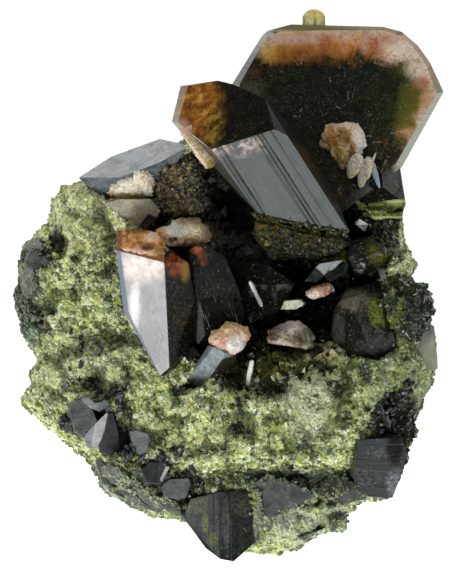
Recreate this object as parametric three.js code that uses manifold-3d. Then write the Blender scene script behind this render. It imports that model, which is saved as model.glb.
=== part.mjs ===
// A clinozoisite crystal cluster: dark prisms and plates grown in a hollow of granular rock.
// Millimetres, +Z up. The specimen lies on its flat back, so its crystals look up along +Z.
// X runs to the right and Y up the face, and the origin is on the flat back, under the middle.
import * as THREE from "three";
import { ConvexGeometry } from "three/addons/geometries/ConvexGeometry.js";
import { mergeVertices } from "three/addons/utils/BufferGeometryUtils.js";
import Module from "manifold-3d";

const wasm = await Module();
wasm.setup();

// Driving dimensions, in millimetres
const ledgeHeight = 10.6; // front of the rocky ledge, above the back
const rimHeight = 5.2; // widest line of the rock, above the back
const hollowFloor = 6.6; // floor of the hollow that the crystals stand in
const lowStep = 2.4; // drop of the dark band along the lower edge
const lowLine = -13.6; // the dark band lies below this line
const lowRun = 2.2; // width of the slope down to it
const shoulderShare = 0.34; // how far in the rim rounds over, as a share of the radius
const hollowSlope = 0.22; // sloping edge of the hollow, as a share of its radius
const backInset = 0.84; // the back's outline against the widest one
const backRounding = 1.6; // how soon the side turns in to the back
const sideRoughness = 0.035; // as a share of the radius
const rimSpacing = 1.9; // length of a facet along the rock's outline
const ledgeRings = 14; // rows of facets on the rock's open front
const hiddenRings = 2; // rows of facets under the crystals
const hiddenShare = 0.28; // part of the radius that they cover
const ringCrowding = 1.1; // how much closer the rows lie near the rim
const boulderSize = 3.6; // width of the rock's boulders
const boulderRise = 1.3; // how far one stands out
const lumpSize = 1.9; // width of the lumps on them
const lumpRise = 0.8;
const facetJitter = 0.3; // how far a facet's corner strays sideways
const seatGap = 0.25; // clearance round a crystal that sits in the rock or in another
const seatPasses = 20; // rounds in which a seat's corner is pushed out
const mergeDistance = 1e-4; // points closer than this are one
const rootDepth = 4.4; // how far a crystal reaches down behind its face
const plateThickness = 3.2; // the tabular crystal
const plateHeight = 12.2; // its face, above the back
const bevelDrop = 0.35; // its narrow edge faces
const prismCrest = 19; // highest edge of the central prism
const grooveWidth = 0.34; // the wide grooves on its grey face
const grooveDepth = 0.2;
const striaWidth = 0.2; // the fine grooves on dark prisms
const striaDepth = 0.09;
const cutterLift = 0.05; // a groove's cutter starts this far above the face

// Faces that catch the light all lean to the lower left by this slope, in mm per mm
const leanX = 0.28;
const leanY = 0.46;

// The rock's outline, seen from the front, anticlockwise from the upper left
const rockOutline = [
  [-13.6, 8.5], [-14.4, 7.3], [-14.5, 6.4], [-15.3, 5], [-17, 3.6], [-17.3, 2.1], [-17.1, 1.1],
  [-17.6, -0.9], [-17, -3.4], [-16.2, -5], [-15.8, -5.8], [-16.3, -6.8], [-16.2, -7.8],
  [-17.1, -9.2], [-14.8, -11.5], [-13.1, -12.8], [-11.2, -14.5], [-10.7, -15.9], [-9.7, -17.1],
  [-6.3, -18.6], [-3.8, -19.1], [-1.8, -20.6], [0.4, -21.5], [2.5, -21.7], [4.1, -21.8],
  [6.1, -21.3], [7.9, -20], [9.5, -20], [10.6, -17.9], [13, -17.1], [14.2, -15.1],
  [14.6, -13.5], [15.4, -12.3], [15.3, -10.7], [16.4, -8.9], [17.1, -6.6], [17.1, -4.6],
  [16.6, -2.7], [16.6, -1.4], [15.9, 0], [15.3, 1], [15.6, 2.1], [14.8, 3.3], [14.5, 5.1],
  [14.4, 6.4], [13.4, 9.2], [11.4, 11.2], [8.3, 12], [4.3, 12.4], [0.6, 12.8], [-2.6, 12.7],
  [-5.5, 11.4], [-8.7, 10], [-11.5, 8.9],
];
const rockMiddle = [1, -2];
const hollow = { x: 2.4, y: 1.2, rx: 10.4, ry: 8.2 };

// Broad swellings and pits of the rock's front: place, radius and height
const swellings = [
  { x: 6.8, y: -8.9, r: 2.4, h: 2.5 },
  { x: 12.4, y: -14, r: 2.4, h: -1.3 },
  { x: -12.6, y: 3.4, r: 2.6, h: 0.8 },
  { x: -13.2, y: -4.6, r: 2, h: -1.5 },
  { x: -11, y: -7.6, r: 1.6, h: -1.2 },
  { x: -13.8, y: 3.6, r: 0.9, h: -1.3 },
  { x: -2.6, y: -9.4, r: 2.2, h: 0.9 },
  { x: 1.4, y: -11.1, r: 1.1, h: -1.1 },
  { x: 12.6, y: -8, r: 2.4, h: 0.9 },
  { x: 14.4, y: -1.4, r: 1.9, h: 2.2 },
  { x: 13.4, y: 2.6, r: 1.8, h: 1.6 },
  { x: 14, y: -11.4, r: 1.6, h: -1.6 },
  { x: -2.8, y: -16.6, r: 1, h: -1.8 },
  { x: 1, y: -16.4, r: 1.6, h: -1.2 },
  { x: 6.4, y: -19.4, r: 2, h: 1.4 },
  { x: -8.8, y: -15.6, r: 2, h: 0.6 },
];

// A steady pseudo-random number from 0 to 1 for a pair of whole numbers
function chance(i, j) {
  const mixed = Math.sin(i * 127.1 + j * 311.7) * 43758.5453;
  return mixed - Math.floor(mixed);
}

// Smooth step from 0 to 1 as t goes from 0 to 1
function ease(t) {
  const held = Math.min(Math.max(t, 0), 1);
  return held * held * (3 - 2 * held);
}

// Rounded lumps round scattered points: 1 on a lump's top, 0 in the creases between lumps
function lumps(x, y, size) {
  const column = Math.floor(x / size);
  const row = Math.floor(y / size);
  let nearest = Infinity;
  for (let i = column - 1; i <= column + 1; i++) {
    for (let j = row - 1; j <= row + 1; j++) {
      const dx = (i + chance(i, j)) * size - x;
      const dy = (j + chance(j + 57, i)) * size - y;
      nearest = Math.min(nearest, Math.hypot(dx, dy));
    }
  }
  return Math.max(0, 1 - (nearest / size) ** 2);
}

// Height of the rock's front at x, y, where s is 1 at the rim and 0 in the middle
function frontHeight(x, y, s) {
  const inward = Math.min((1 - s) / shoulderShare, 1);
  const shoulder = Math.sqrt(1 - (1 - inward) ** 2);
  const low = lowStep * ease((lowLine - y) / lowRun);
  let height = rimHeight + (ledgeHeight - low - rimHeight) * shoulder;
  const depth = 1 - Math.hypot((x - hollow.x) / hollow.rx, (y - hollow.y) / hollow.ry);
  height += (hollowFloor - ledgeHeight) * ease(depth / hollowSlope) * shoulder;
  for (const { x: cx, y: cy, r, h } of swellings) {
    height += h * Math.exp(-((((x - cx) ** 2 + (y - cy) ** 2) / r ** 2) ** 2));
  }
  const boulders = (lumps(x, y, boulderSize) - 0.6) * boulderRise;
  const knobs = (lumps(x, y, lumpSize) - 0.5) * lumpRise;
  return height + (boulders + knobs) * Math.min(1, inward * 3);
}

// Points along the outline, no further apart than the facet length
function outlineStations() {
  const stations = [];
  rockOutline.forEach(([x, y], i) => {
    const [nextX, nextY] = rockOutline[(i + 1) % rockOutline.length];
    const steps = Math.ceil(Math.hypot(nextX - x, nextY - y) / rimSpacing);
    for (let k = 0; k < steps; k++) {
      stations.push([x + ((nextX - x) * k) / steps, y + ((nextY - y) * k) / steps]);
    }
  });
  return stations;
}

// The rings of the rock's skin, from the back's edge up the side and over the front
function rockRings(stations) {
  const [middleX, middleY] = rockMiddle;
  const sideLevels = [0, 0.2, 0.5, 0.8];
  const rings = sideLevels.map((level, k) => stations.map(([x, y], i) => {
    const dent = k > 0 ? sideRoughness * chance(i, k) : 0;
    const tuck = (1 - backInset) * (1 - level) ** backRounding + dent;
    return [middleX + (x - middleX) * (1 - tuck), middleY + (y - middleY) * (1 - tuck),
      level * rimHeight];
  }));
  for (let ring = 0; ring < ledgeRings + hiddenRings; ring++) {
    const s = ring < ledgeRings ? 1 - (1 - hiddenShare) * (ring / ledgeRings) ** ringCrowding
      : hiddenShare * (1 - (ring - ledgeRings) / hiddenRings);
    const stray = ring > 0 ? facetJitter * Math.min(1, s * 2) : 0;
    rings.push(stations.map(([x, y], i) => {
      const px = middleX + (x - middleX) * s + stray * (2 * chance(i, ring) - 1);
      const py = middleY + (y - middleY) * s + stray * (2 * chance(ring, i + 7) - 1);
      return [px, py, frontHeight(px, py, s)];
    }));
  }
  return rings;
}

// The rock: rings of facets, closed by a fan at the front's middle and one across the flat back
function rockGeometry() {
  const stations = outlineStations();
  const rings = rockRings(stations);
  const [middleX, middleY] = rockMiddle;
  const positions = rings.flat().concat([
    [middleX, middleY, 0],
    [middleX, middleY, frontHeight(middleX, middleY, 0)],
  ]);
  const around = stations.length;
  const backMiddle = rings.length * around;
  const indices = [];
  for (let i = 0; i < around; i++) {
    const next = (i + 1) % around;
    for (let ring = 0; ring + 1 < rings.length; ring++) {
      const low = ring * around;
      const high = low + around;
      indices.push(low + i, low + next, high + i, low + next, high + next, high + i);
    }
    const last = (rings.length - 1) * around;
    indices.push(backMiddle, next, i, backMiddle + 1, last + i, last + next);
  }
  const geometry = new THREE.BufferGeometry();
  geometry.setAttribute("position", new THREE.Float32BufferAttribute(positions.flat(), 3));
  geometry.setIndex(indices);
  return geometry;
}

// A solid for joining and cutting, from a closed geometry
function toSolid(geometry) {
  const bare = geometry.clone();
  bare.deleteAttribute("normal");
  bare.deleteAttribute("uv");
  const merged = mergeVertices(bare, mergeDistance);
  return new wasm.Manifold(new wasm.Mesh({
    numProp: 3,
    vertProperties: new Float32Array(merged.attributes.position.array),
    triVerts: new Uint32Array(merged.index.array),
  }));
}

// A geometry from a solid
function toGeometry(solid) {
  const { vertProperties, triVerts } = solid.getMesh();
  const geometry = new THREE.BufferGeometry();
  geometry.setAttribute("position", new THREE.BufferAttribute(vertProperties, 3));
  geometry.setIndex(new THREE.BufferAttribute(triVerts, 1));
  const flat = geometry.toNonIndexed();
  flat.computeVertexNormals();
  return flat;
}

// The flat-faced solid that a crystal's corners span
function spanned(corners) {
  return toSolid(new ConvexGeometry(corners.map((corner) => new THREE.Vector3(...corner))));
}

// The same solid with the seat's clearance all round: each corner moves out until every facet
// that meets there has moved by the gap
function spannedSeat(corners) {
  const geometry = new ConvexGeometry(corners.map((corner) => new THREE.Vector3(...corner)));
  const { position, normal } = geometry.attributes;
  const point = new THREE.Vector3();
  const facing = new THREE.Vector3();
  return spanned(corners.map((corner) => {
    const start = new THREE.Vector3(...corner);
    const facets = [];
    for (let i = 0; i < position.count; i++) {
      if (point.fromBufferAttribute(position, i).distanceTo(start) < mergeDistance) {
        facets.push(facing.fromBufferAttribute(normal, i).clone());
      }
    }
    const push = new THREE.Vector3();
    for (let pass = 0; pass < seatPasses; pass++) {
      facets.forEach((facet) => push.addScaledVector(facet, Math.max(0, seatGap - facet.dot(push))));
    }
    return start.add(push).toArray();
  }));
}

// A face that leans to the light, through the point x, y, z: it lays an outline's points on itself
function litFace(x, y, z, slopeX = leanX, slopeY = leanY) {
  return (outline) => outline.map(([px, py]) => [px, py, z + slopeX * (px - x) + slopeY * (py - y)]);
}

// A face through three points
function faceThrough(a, b, c) {
  const plane = new THREE.Plane().setFromCoplanarPoints(
    new THREE.Vector3(...a), new THREE.Vector3(...b), new THREE.Vector3(...c));
  const { normal, constant } = plane;
  return (outline) => outline.map(([x, y]) =>
    [x, y, -(constant + normal.x * x + normal.y * y) / normal.z]);
}

// Points moved by one step
function moved(points, [dx, dy, dz]) {
  return points.map(([x, y, z]) => [x + dx, y + dy, z + dz]);
}

// A crystal's corners with its root: every third corner again, one step into the rock
function rooted(corners, step) {
  return [...corners, ...moved(corners.filter((_, i) => i % 3 === 0), step)];
}

// Points drawn in towards their middle, and raised
function drawnIn(points, share, rise) {
  const middle = [0, 1].map((axis) =>
    points.reduce((sum, point) => sum + point[axis], 0) / points.length);
  return points.map(([x, y, z]) =>
    [middle[0] + (x - middle[0]) * share, middle[1] + (y - middle[1]) * share, z + rise]);
}

// A knob with flat facets
function knob(x, y, z, rx, ry, rz) {
  const { array } = new THREE.IcosahedronGeometry(1, 1).attributes.position;
  const corners = [];
  for (let i = 0; i < array.length; i += 3) {
    corners.push([x + array[i] * rx, y + array[i + 1] * ry, z + array[i + 2] * rz]);
  }
  return corners;
}

// A grain with eight corners, squarer than a knob
function grain(x, y, z, size) {
  const { array } = new THREE.BoxGeometry(size, 1.2 * size, 1.4 * size).attributes.position;
  const turn = new THREE.Euler(x, y, x * y);
  const corners = [];
  for (let i = 0; i < array.length; i += 3) {
    const corner = new THREE.Vector3(array[i], array[i + 1], array[i + 2]).applyEuler(turn);
    corners.push([x + corner.x, y + corner.y, z + corner.z]);
  }
  return corners;
}

// A groove with a V section, cut into a face between two points on it
function groove(from, to, width, depth) {
  const start = new THREE.Vector3(...from);
  const end = new THREE.Vector3(...to);
  const across = new THREE.Vector3().subVectors(end, start).normalize()
    .cross(new THREE.Vector3(0, 0, 1)).normalize().multiplyScalar(width / 2);
  return [start, end].flatMap((point) => [
    [point.x + across.x, point.y + across.y, point.z + cutterLift],
    [point.x - across.x, point.y - across.y, point.z + cutterLift],
    [point.x, point.y, point.z - depth],
  ]);
}

// Grooves side by side between two edges of a face, each edge given by its two ends
function striae(edgeA, edgeB, count, width, depth) {
  const blend = (a, b, t) => a.map((value, axis) => value + (b[axis] - value) * t);
  return Array.from({ length: count }, (_, i) => {
    const t = (i + 0.6 + 0.5 * chance(i, count)) / (count + 0.5);
    return groove(blend(edgeA[0], edgeB[0], t), blend(edgeA[1], edgeB[1], t), width, depth);
  });
}

function centralPrism() {
  const grey = faceThrough([4.8, 12.3, prismCrest], [9.7, 4.7, prismCrest - 2.4],
    [-1.3, 11.2, prismCrest - 2.2]);
  const greyFace = grey([[-1.3, 11.2], [3.8, 12.8], [4.8, 12.3], [9.7, 4.7], [5.1, 5.5], [2.4, 6.1]]);
  const end = faceThrough(greyFace[0], greyFace[1], [-0.8, 16.8, prismCrest - 5.4]);
  const endFace = end([[-3.2, 16.4], [-0.8, 16.8], [0.4, 16.5], [3, 15.3], [-4, 13.4]]);
  const leftStrip = moved(end([[-3.8, 16.4], [-4.5, 13.5]]), [0, 0, -0.3]);
  const rightEdge = [[3.4, 14.9, 15.6], [4.5, 13.9, 15.2], [6, 11.9, 14.8], [8.1, 8.8, 14],
    [9.9, 4.6, 13]];
  const underside = [[-3.6, 16.1, 10.8], [-4.3, 13.5, 11.4], [-1.6, 9.9, 12], [2.6, 6, 12],
    [0.4, 16.2, 12.2], [3.3, 14.9, 12.6], [9.7, 4.9, 11]];
  const root = [[3.5, 4.6, 6.5], [9.3, 3.6, 6.5], [6, 6.5, 6.5]];
  const wide = [[[1.9, 13.1], [7.4, 4.6]], [[3.1, 13.2], [8.4, 4.5]], [[3.7, 13], [8.9, 4.5]]]
    .map((ends) => groove(...grey(ends), grooveWidth, grooveDepth));
  const fine = striae(grey([[-1, 11.7], [3, 5.4]]), grey([[0.2, 12.1], [4, 5.1]]), 3,
    striaWidth, striaDepth);
  return {
    name: "central_prism", color: 0x2a2018, roughness: 0.16,
    spans: [[...greyFace, ...endFace, ...leftStrip, ...rightEdge, ...underside, ...root]],
    grooves: [...wide, ...fine],
  };
}

function tabularCrystal() {
  const face = litFace(8.7, 15.2, plateHeight, 0.04, -0.08);
  const inner = face([[1.3, 16.6], [3.3, 20], [4.3, 20.7], [7.9, 20.8], [12.8, 20.8], [14, 20.3],
    [14.9, 19.3], [15.7, 18], [16.4, 15.8], [13.4, 10.4], [8.7, 6.8], [4.7, 7.6]]);
  const outer = moved(face([[0.4, 16.6], [2.8, 20.5], [3.3, 20.9], [5.1, 21.4], [12.6, 21.2],
    [14.1, 20.8], [15.4, 19.7], [16.4, 18.3], [17.5, 15.9], [14.1, 9.8], [9.1, 6], [3.8, 6.9]]),
    [0, 0, -bevelDrop]);
  const lower = moved(outer, [0, 0, 2 * bevelDrop - plateThickness]);
  return {
    name: "tabular_crystal", color: 0x23261a, roughness: 0.18,
    spans: [[...inner, ...outer, ...lower, ...drawnIn(lower, 0.94, -bevelDrop)]],
  };
}

function nubCrystal() {
  const rings = [[20.4, 1], [22.1, 1], [22.4, 0.72], [22.65, 0.3]];
  const corners = rings.flatMap(([y, share]) => Array.from({ length: 8 }, (_, i) => {
    const angle = ((i + 0.5) * Math.PI) / 4;
    return [7 + 1 * share * Math.cos(angle), y, 10.4 + 0.8 * share * Math.sin(angle)];
  }));
  return { name: "nub_crystal", color: 0xb9bf8c, roughness: 0.2, spans: [corners] };
}

function slimCrystal() {
  const top = [[-3.6, 12.8, 14.6], [-3, 13, 14.9], [-0.8, 9.9, 15.6], [-1.1, 9.5, 15.4],
    [-1.7, 9.4, 15], [-2, 10, 14.9]];
  return {
    name: "slim_crystal", color: 0xd9b98a, roughness: 0.3,
    spans: [[...top, ...moved(top, [0.1, -0.1, -1.5])]],
  };
}

function slateCrystal() {
  const face = litFace(-8.3, 11.1, 11.9);
  const greyFace = face([[-12.1, 9], [-9.4, 10.7], [-8.3, 11.1], [-5.5, 12.1], [-3.6, 11.7],
    [-3.3, 11.4], [-5.5, 10.2], [-8.7, 9], [-10.3, 9]]);
  const lowerEdge = [[-10, 7.2, 8.9], [-5.9, 7.2, 9.6]];
  const sides = [...greyFace, ...lowerEdge];
  return {
    name: "slate_crystal", color: 0x4c4f52, roughness: 0.22,
    spans: [rooted(sides, [0.9, -0.9, -rootDepth])],
  };
}

function brownCrystal() {
  const top = [[-5.5, 10.2, 12.2], [-3.4, 11, 13], [-2.2, 10, 13.2], [-1, 8.8, 12.6],
    [-0.9, 6.8, 11.6], [-2.2, 6, 11.2], [-5.1, 6, 10.6], [-5.9, 7.2, 10.8], [-6, 8.8, 11.6],
    [-3.2, 8.8, 13.4]];
  return {
    name: "brown_crystal", color: 0x3b2c1c, roughness: 0.35,
    spans: [rooted(top, [0.4, -0.4, -rootDepth])],
  };
}

function shadowCrystal() {
  const top = litFace(-7.6, 6, 10.4)([[-9.9, 6.9], [-6.3, 7.1], [-5.5, 6.1], [-5.9, 5.4],
    [-7.1, 4.9], [-7.9, 5.4], [-9.1, 6.4]]);
  return {
    name: "shadow_crystal", color: 0x5c605f, roughness: 0.25,
    spans: [rooted(top, [0.6, -0.4, -rootDepth])],
  };
}

function cappedCrystal() {
  const ring = [[-5.9, 5.1], [-5.1, 5.5], [-3.4, 5.7], [-2.2, 5.4], [-1.4, 5.1], [-1, 4.3],
    [-1.8, 3.5], [-3, 3.7], [-4, 3.3], [-5.1, 3.4], [-5.5, 3.9]].map(([x, y]) => [x, y, 12.6]);
  return {
    name: "capped_crystal", color: 0xc79a6a, roughness: 0.35,
    spans: [
      [...rooted(ring, [0.5, -0.5, -rootDepth]), ...drawnIn(ring, 0.72, 1.1)],
      knob(-4.4, 4.4, 13.3, 1.2, 0.9, 0.7),
    ],
  };
}

function whitePrism() {
  const bright = litFace(-5.1, 2.1, 15.4, 0.34, 0.44);
  const brightFace = bright([[-8.6, 3], [-5.1, 2.1], [-4.7, -6.4], [-5.5, -7.1], [-8, -1.9],
    [-8.3, 1.5]]);
  const leftStrip = moved(bright([[-9, 3.1], [-8.8, 1.4], [-8.4, -1.8]]), [0, 0, -0.2]);
  const orangeEnd = [[-8.9, 4.7, 13.3], [-6.7, 4.7, 13.9], [-5.1, 3.3, 14.7]];
  const darkSide = [[-3.2, 2.1, 13.6], [-2.6, -0.9, 12.2], [-2.5, -4.2, 10.4], [-3.8, -6.6, 9.8]];
  const top = [...brightFace, ...leftStrip, ...orangeEnd, ...darkSide];
  return {
    name: "white_prism", color: 0xb9b9c2, roughness: 0.2,
    spans: [rooted(top, [0.8, -0.6, -rootDepth])],
    grooves: striae(bright([[-7.9, 3], [-7.6, -2.4]]), bright([[-5.3, 2.4], [-4.9, -6.9]]), 5,
      striaWidth, striaDepth * 0.6),
  };
}

function darkPrism() {
  const top = [[-3.2, 3.1, 13.2], [-2, 3.8, 14], [-0.2, 2.5, 13], [1, -0.3, 11.6],
    [1.4, -2, 10.6], [1, -3.4, 9.8], [-1.8, -3.8, 11], [-2.2, -0.9, 12.4], [-3.7, -6.2, 9.6]];
  return {
    name: "dark_prism", color: 0x231b16, roughness: 0.14,
    spans: [rooted(top, [0.4, -0.8, -rootDepth])],
  };
}

function tippedPrism() {
  const foot = [[-3.4, -7.6, 9.8], [-2, -8, 10.1], [-0.9, -7.4, 8.9], [-2.6, -6.8, 8]];
  const head = [[-1.6, -4.6, 12.5], [-0.4, -5.7, 13], [1.4, -5.2, 12.3], [0.9, -3.4, 11.4]];
  return {
    name: "tipped_prism", color: 0xb98a6b, roughness: 0.3,
    spans: [
      [...foot, ...head, ...moved(foot, [-0.6, -0.9, -1.6])],
      knob(0.3, -4, 12.8, 1.7, 1.5, 1.2),
      knob(-1.1, -3.8, 12.5, 0.8, 0.8, 0.8),
      knob(1, -3.2, 12.7, 1.1, 0.9, 0.9),
    ],
  };
}

function needle(name, tip, foot, width) {
  const half = width / 2;
  const section = [[-half, 0, 0], [half, 0, 0], [0, half, half], [0, -half, -half]];
  return {
    name, color: 0xe6e6d4, roughness: 0.3,
    spans: [section.flatMap((step) => moved([tip, foot], step))],
  };
}

function tipCluster() {
  const ring = [[7.7, 13], [8.4, 13.7], [9.6, 13.8], [10.6, 13.2], [11.4, 12.2], [11.2, 10.6],
    [9.5, 10], [8.5, 10.9], [7.7, 11.9]]
    .map(([x, y]) => [x, y, 12.9]);
  const petal = (outline, high, low) => {
    const top = faceThrough(high, low, [high[0] + 1, high[1], high[2] - 0.25])(outline);
    return [...top, ...moved(top, [0, 0, -0.7])];
  };
  const spike = [[11.3, 10.5, 13.2], [11.9, 11.1, 13.6], [12, 10.6, 13], [11.4, 10.4, 11.6]];
  return {
    name: "tip_cluster", color: 0xc9965f, roughness: 0.35,
    spans: [
      [...ring, ...drawnIn(ring, 0.7, 1.5), ...drawnIn(ring, 0.8, -1.6)],
      petal([[10.6, 11], [9.9, 10.5], [9.6, 9.6], [9.8, 9], [10.3, 9.2], [10.9, 9.8]],
        [10.3, 11, 13.9], [10, 9, 13]),
      petal([[10.5, 9.9], [10.6, 8.4], [10.9, 8.7], [11.4, 9.2], [11.5, 10]],
        [11, 10, 13.5], [10.7, 8.4, 12.7]),
      petal([[11.1, 10.6], [11.7, 10.4], [12.2, 9.2], [12.4, 8.4], [12.2, 8.1], [11.8, 8.5],
        [11.2, 9.6]], [11.5, 10.5, 13.4], [12.2, 8.2, 12.9]),
      spike,
    ],
  };
}

function blockCrystal() {
  const top = [[10.1, 10, 12.6], [12.8, 10.6, 12.9], [14, 9.8, 12.3], [14.5, 6.8, 11.2],
    [13.9, 5.4, 10.6], [11.9, 5.8, 10.9], [10.7, 6.4, 11.4], [9.8, 7.6, 12.2], [12, 8.6, 13]];
  return {
    name: "block_crystal", color: 0x1b1c14, roughness: 0.14,
    spans: [rooted(top, [-0.6, -0.4, -rootDepth])],
  };
}

function oliveCrystal() {
  const top = [[2.2, 5.7, 13], [5.9, 5.4, 13.6], [9.9, 4.9, 13.2], [10.1, 3.5, 12],
    [8.3, 2.1, 11], [3.4, 2.1, 10.8], [2, 4.2, 11.8]];
  return {
    name: "olive_crystal", color: 0x2b2c18, roughness: 0.25,
    spans: [rooted(top, [0, -0.4, -rootDepth])],
  };
}

function innerCrystal() {
  const top = [[-0.6, 2.6, 10.2], [3.4, 2, 10.4], [5.6, 0.4, 9.8], [4.4, -1.8, 9.4],
    [1.8, -3, 9.2], [0.6, 0.6, 10.2], [2.6, 0.2, 10.6]];
  return {
    name: "inner_crystal", color: 0x161612, roughness: 0.16,
    spans: [rooted(top, [0, 0, -rootDepth])],
  };
}

function silverCrystal() {
  const facet = litFace(8.2, 1.7, 11.6)([[7.2, 1.7], [7.5, 2], [9.3, 2.3], [8.7, 1.7], [7.9, 1.1]]);
  const shoulders = [[6.3, 0.6, 10.2], [9.9, 0.7, 10.4], [6.8, 2.3, 10.6], [9.8, 2.1, 11]];
  const top = [...facet, ...shoulders];
  return {
    name: "silver_crystal", color: 0x3a3a3c, roughness: 0.16,
    spans: [[...top, ...moved(shoulders, [0, 0, -rootDepth])]],
  };
}

function pinkCrystal() {
  const ring = [[6.5, -0.3], [7.1, 0.4], [7.9, 0.6], [8.5, 0.4], [8.5, 0], [7.9, -0.3],
    [7.1, -0.8], [6.4, -1.1]].map(([x, y]) => [x, y, 11.1]);
  return {
    name: "pink_crystal", color: 0xc59a78, roughness: 0.3,
    spans: [[...rooted(ring, [0.3, 0.3, -rootDepth]), ...drawnIn(ring, 0.7, 0.5)]],
  };
}

function paleCrystal() {
  const top = litFace(5.2, -1.3, 10.6)([[4.3, -1.7], [4.6, -1], [5.9, -0.9], [6.3, -1.3],
    [5.5, -1.7]]);
  return {
    name: "pale_crystal", color: 0xa9ad88, roughness: 0.3,
    spans: [[...top, ...moved(top, [0.2, 0.2, -rootDepth])]],
  };
}

function cornerCrystal() {
  const top = [[9.9, 3.9, 11.4], [11.7, 4.4, 12], [13.2, 3.5, 11.6], [13.8, 2.6, 10.8],
    [12.8, 1.3, 10.6], [10.7, 0.8, 10.4], [9.5, 1.9, 10.8], [11.6, 2.6, 12.3]];
  return {
    name: "corner_crystal", color: 0x1c1e16, roughness: 0.2,
    spans: [rooted(top, [-0.3, 0, -rootDepth])],
  };
}

// Small black crystals crowded together at the right edge
function blackGrains() {
  const places = [[14.2, 0.2], [15.3, -0.6], [14.6, -1.5], [15.8, -1.6], [13.9, -2.6], [15.2, -2.8]];
  return {
    name: "black_grains", color: 0x17191a, roughness: 0.15,
    spans: places.map(([x, y], i) => {
      const size = 0.95 + 0.3 * chance(i, 4);
      return grain(x, y, 11.3 - 0.9 * (x - 14) + 0.4 * chance(i, 9), size);
    }),
  };
}

function roundCrystal() {
  return {
    name: "round_crystal", color: 0x5a4a3a, roughness: 0.25,
    spans: [[...knob(5.2, -4, 10, 2.4, 1.6, 2.3), [4.6, -4.6, 6.4], [5.8, -4.6, 6.4]]],
  };
}

function smokyCrystal() {
  const ring = [[8.5, -1.7], [9.6, 0.1], [11.8, 0.7], [13.2, -0.3], [13.6, -2.6], [13.9, -4.8],
    [12.2, -6], [9.6, -5.5], [8.3, -3.9]].map(([x, y]) => [x, y, 10.4]);
  const facets = [[9, -0.9, 11.9], [10.9, -0.4, 12.3], [12.6, -1.1, 11.8], [12.9, -3.6, 11.6],
    [11.6, -5, 11.7], [9.6, -4.4, 12], [10.4, -2.2, 12.8]];
  return {
    name: "smoky_crystal", color: 0x2a2a28, roughness: 0.3,
    spans: [[...rooted(ring, [0, 0, -rootDepth]), ...facets]],
  };
}

function edgeSlab() {
  const top = [[15.9, -2.6, 8.2], [16.9, -3, 6.6], [17.1, -4.6, 6.4], [17.2, -6.6, 6.4],
    [16.2, -6.8, 7.6], [15.4, -5, 9]];
  return {
    name: "edge_slab", color: 0x6c7565, roughness: 0.45,
    spans: [[...top, ...moved(top, [-1.2, 0, -3])]],
  };
}

// Dark wedge-shaped crystals that stand out of the rock round its lower left edge
function wedgeCrystals() {
  const wedges = [
    { outline: [[-12.8, -9.4], [-11.9, -9], [-10.7, -9.4], [-10.6, -10.1], [-11.3, -11.6],
      [-11.8, -11.9]], face: litFace(-11.6, -10.4, 10.9), extra: [[-12.9, -11.2, 8.6]] },
    { outline: [[-9.8, -10], [-11.6, -11.7], [-11.6, -12.3], [-11.1, -13], [-10.6, -12.8]],
      face: litFace(-10.7, -11.8, 11, 0.5, 0.4),
      extra: [[-8.7, -10, 10.8], [-7.9, -12.3, 9.4], [-7.3, -13.2, 9], [-8.5, -13.6, 8.8]] },
    { outline: [[-7.9, -11.9], [-7.3, -11.3], [-6.3, -12], [-6.4, -12.7], [-7.1, -13.5]],
      face: litFace(-7, -12.2, 11.3), extra: [] },
    { outline: [[-6.8, -13.9], [-5.2, -13.7], [-4.9, -14.6], [-5.2, -15.5], [-6.6, -15.2]],
      face: litFace(-5.9, -14.5, 10.3, -0.2, 0.1), extra: [] },
    { outline: [[-5.6, -15.4], [-3.2, -15.2], [-2.8, -16.4], [-3.4, -17.2], [-5.8, -17]],
      face: litFace(-4.3, -16.2, 8.9, 0.1, 0.3), extra: [] },
    { outline: [[-16.6, 3.1], [-14.5, 3], [-14.3, 2.1], [-15.2, 1.6], [-16.6, 1.8]],
      face: litFace(-15.4, 2.4, 9.4, 0.3, 0.2), extra: [] },
  ];
  return wedges.map(({ outline, face, extra }, i) => {
    const top = [...face(outline), ...extra];
    return {
      name: `wedge_crystal_${i + 1}`, color: 0x34373a, roughness: 0.2,
      spans: [[...top, ...drawnIn(top, 0.7, -rootDepth)]],
    };
  });
}

function slabCrystal() {
  const face = litFace(12.4, -14.4, 9.3, -0.12, 0.16);
  const top = face([[10.3, -12.3], [14.2, -12.1], [14.5, -13.4], [14.2, -14.9], [13.4, -17],
    [11.5, -16.9], [10.2, -15.3]]);
  return {
    name: "slab_crystal", color: 0x2f3230, roughness: 0.25,
    spans: [[...top, ...moved(top, [-0.8, 0.6, -4.4])]],
    grooves: striae(face([[10, -12.7], [14.6, -12.6]]), face([[10, -16], [14.2, -16.2]]), 7,
      striaWidth, striaDepth),
  };
}

// Two dark prisms grown side by side, at the bottom edge
function endPrisms() {
  const left = litFace(-2, -18.6, 7.9, 0.2, 0.34);
  const right = litFace(0.9, -19, 8.2, 0.02, 0.3);
  const leftTop = left([[-3.6, -18.6], [-3, -17.1], [-0.2, -16.5], [-0.4, -22], [-1.8, -21.1]]);
  const rightTop = right([[-0.7, -16.5], [2.2, -16.4], [2.5, -20.4], [0.5, -22.2], [-0.6, -22]]);
  const step = [0, 0.8, -4];
  return {
    name: "end_prisms", color: 0x26292a, roughness: 0.2,
    spans: [[...leftTop, ...moved(leftTop, step)], [...rightTop, ...moved(rightTop, step)]],
    grooves: [
      ...striae(left([[-2.8, -16.8], [-2.6, -20]]), left([[-1.2, -16.6], [-1.2, -22]]), 3,
        striaWidth, striaDepth),
      ...striae(right([[-0.4, -16.4], [-0.4, -22.2]]), right([[1.8, -16.4], [1.8, -21.4]]), 4,
        striaWidth, striaDepth),
    ],
  };
}

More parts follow.
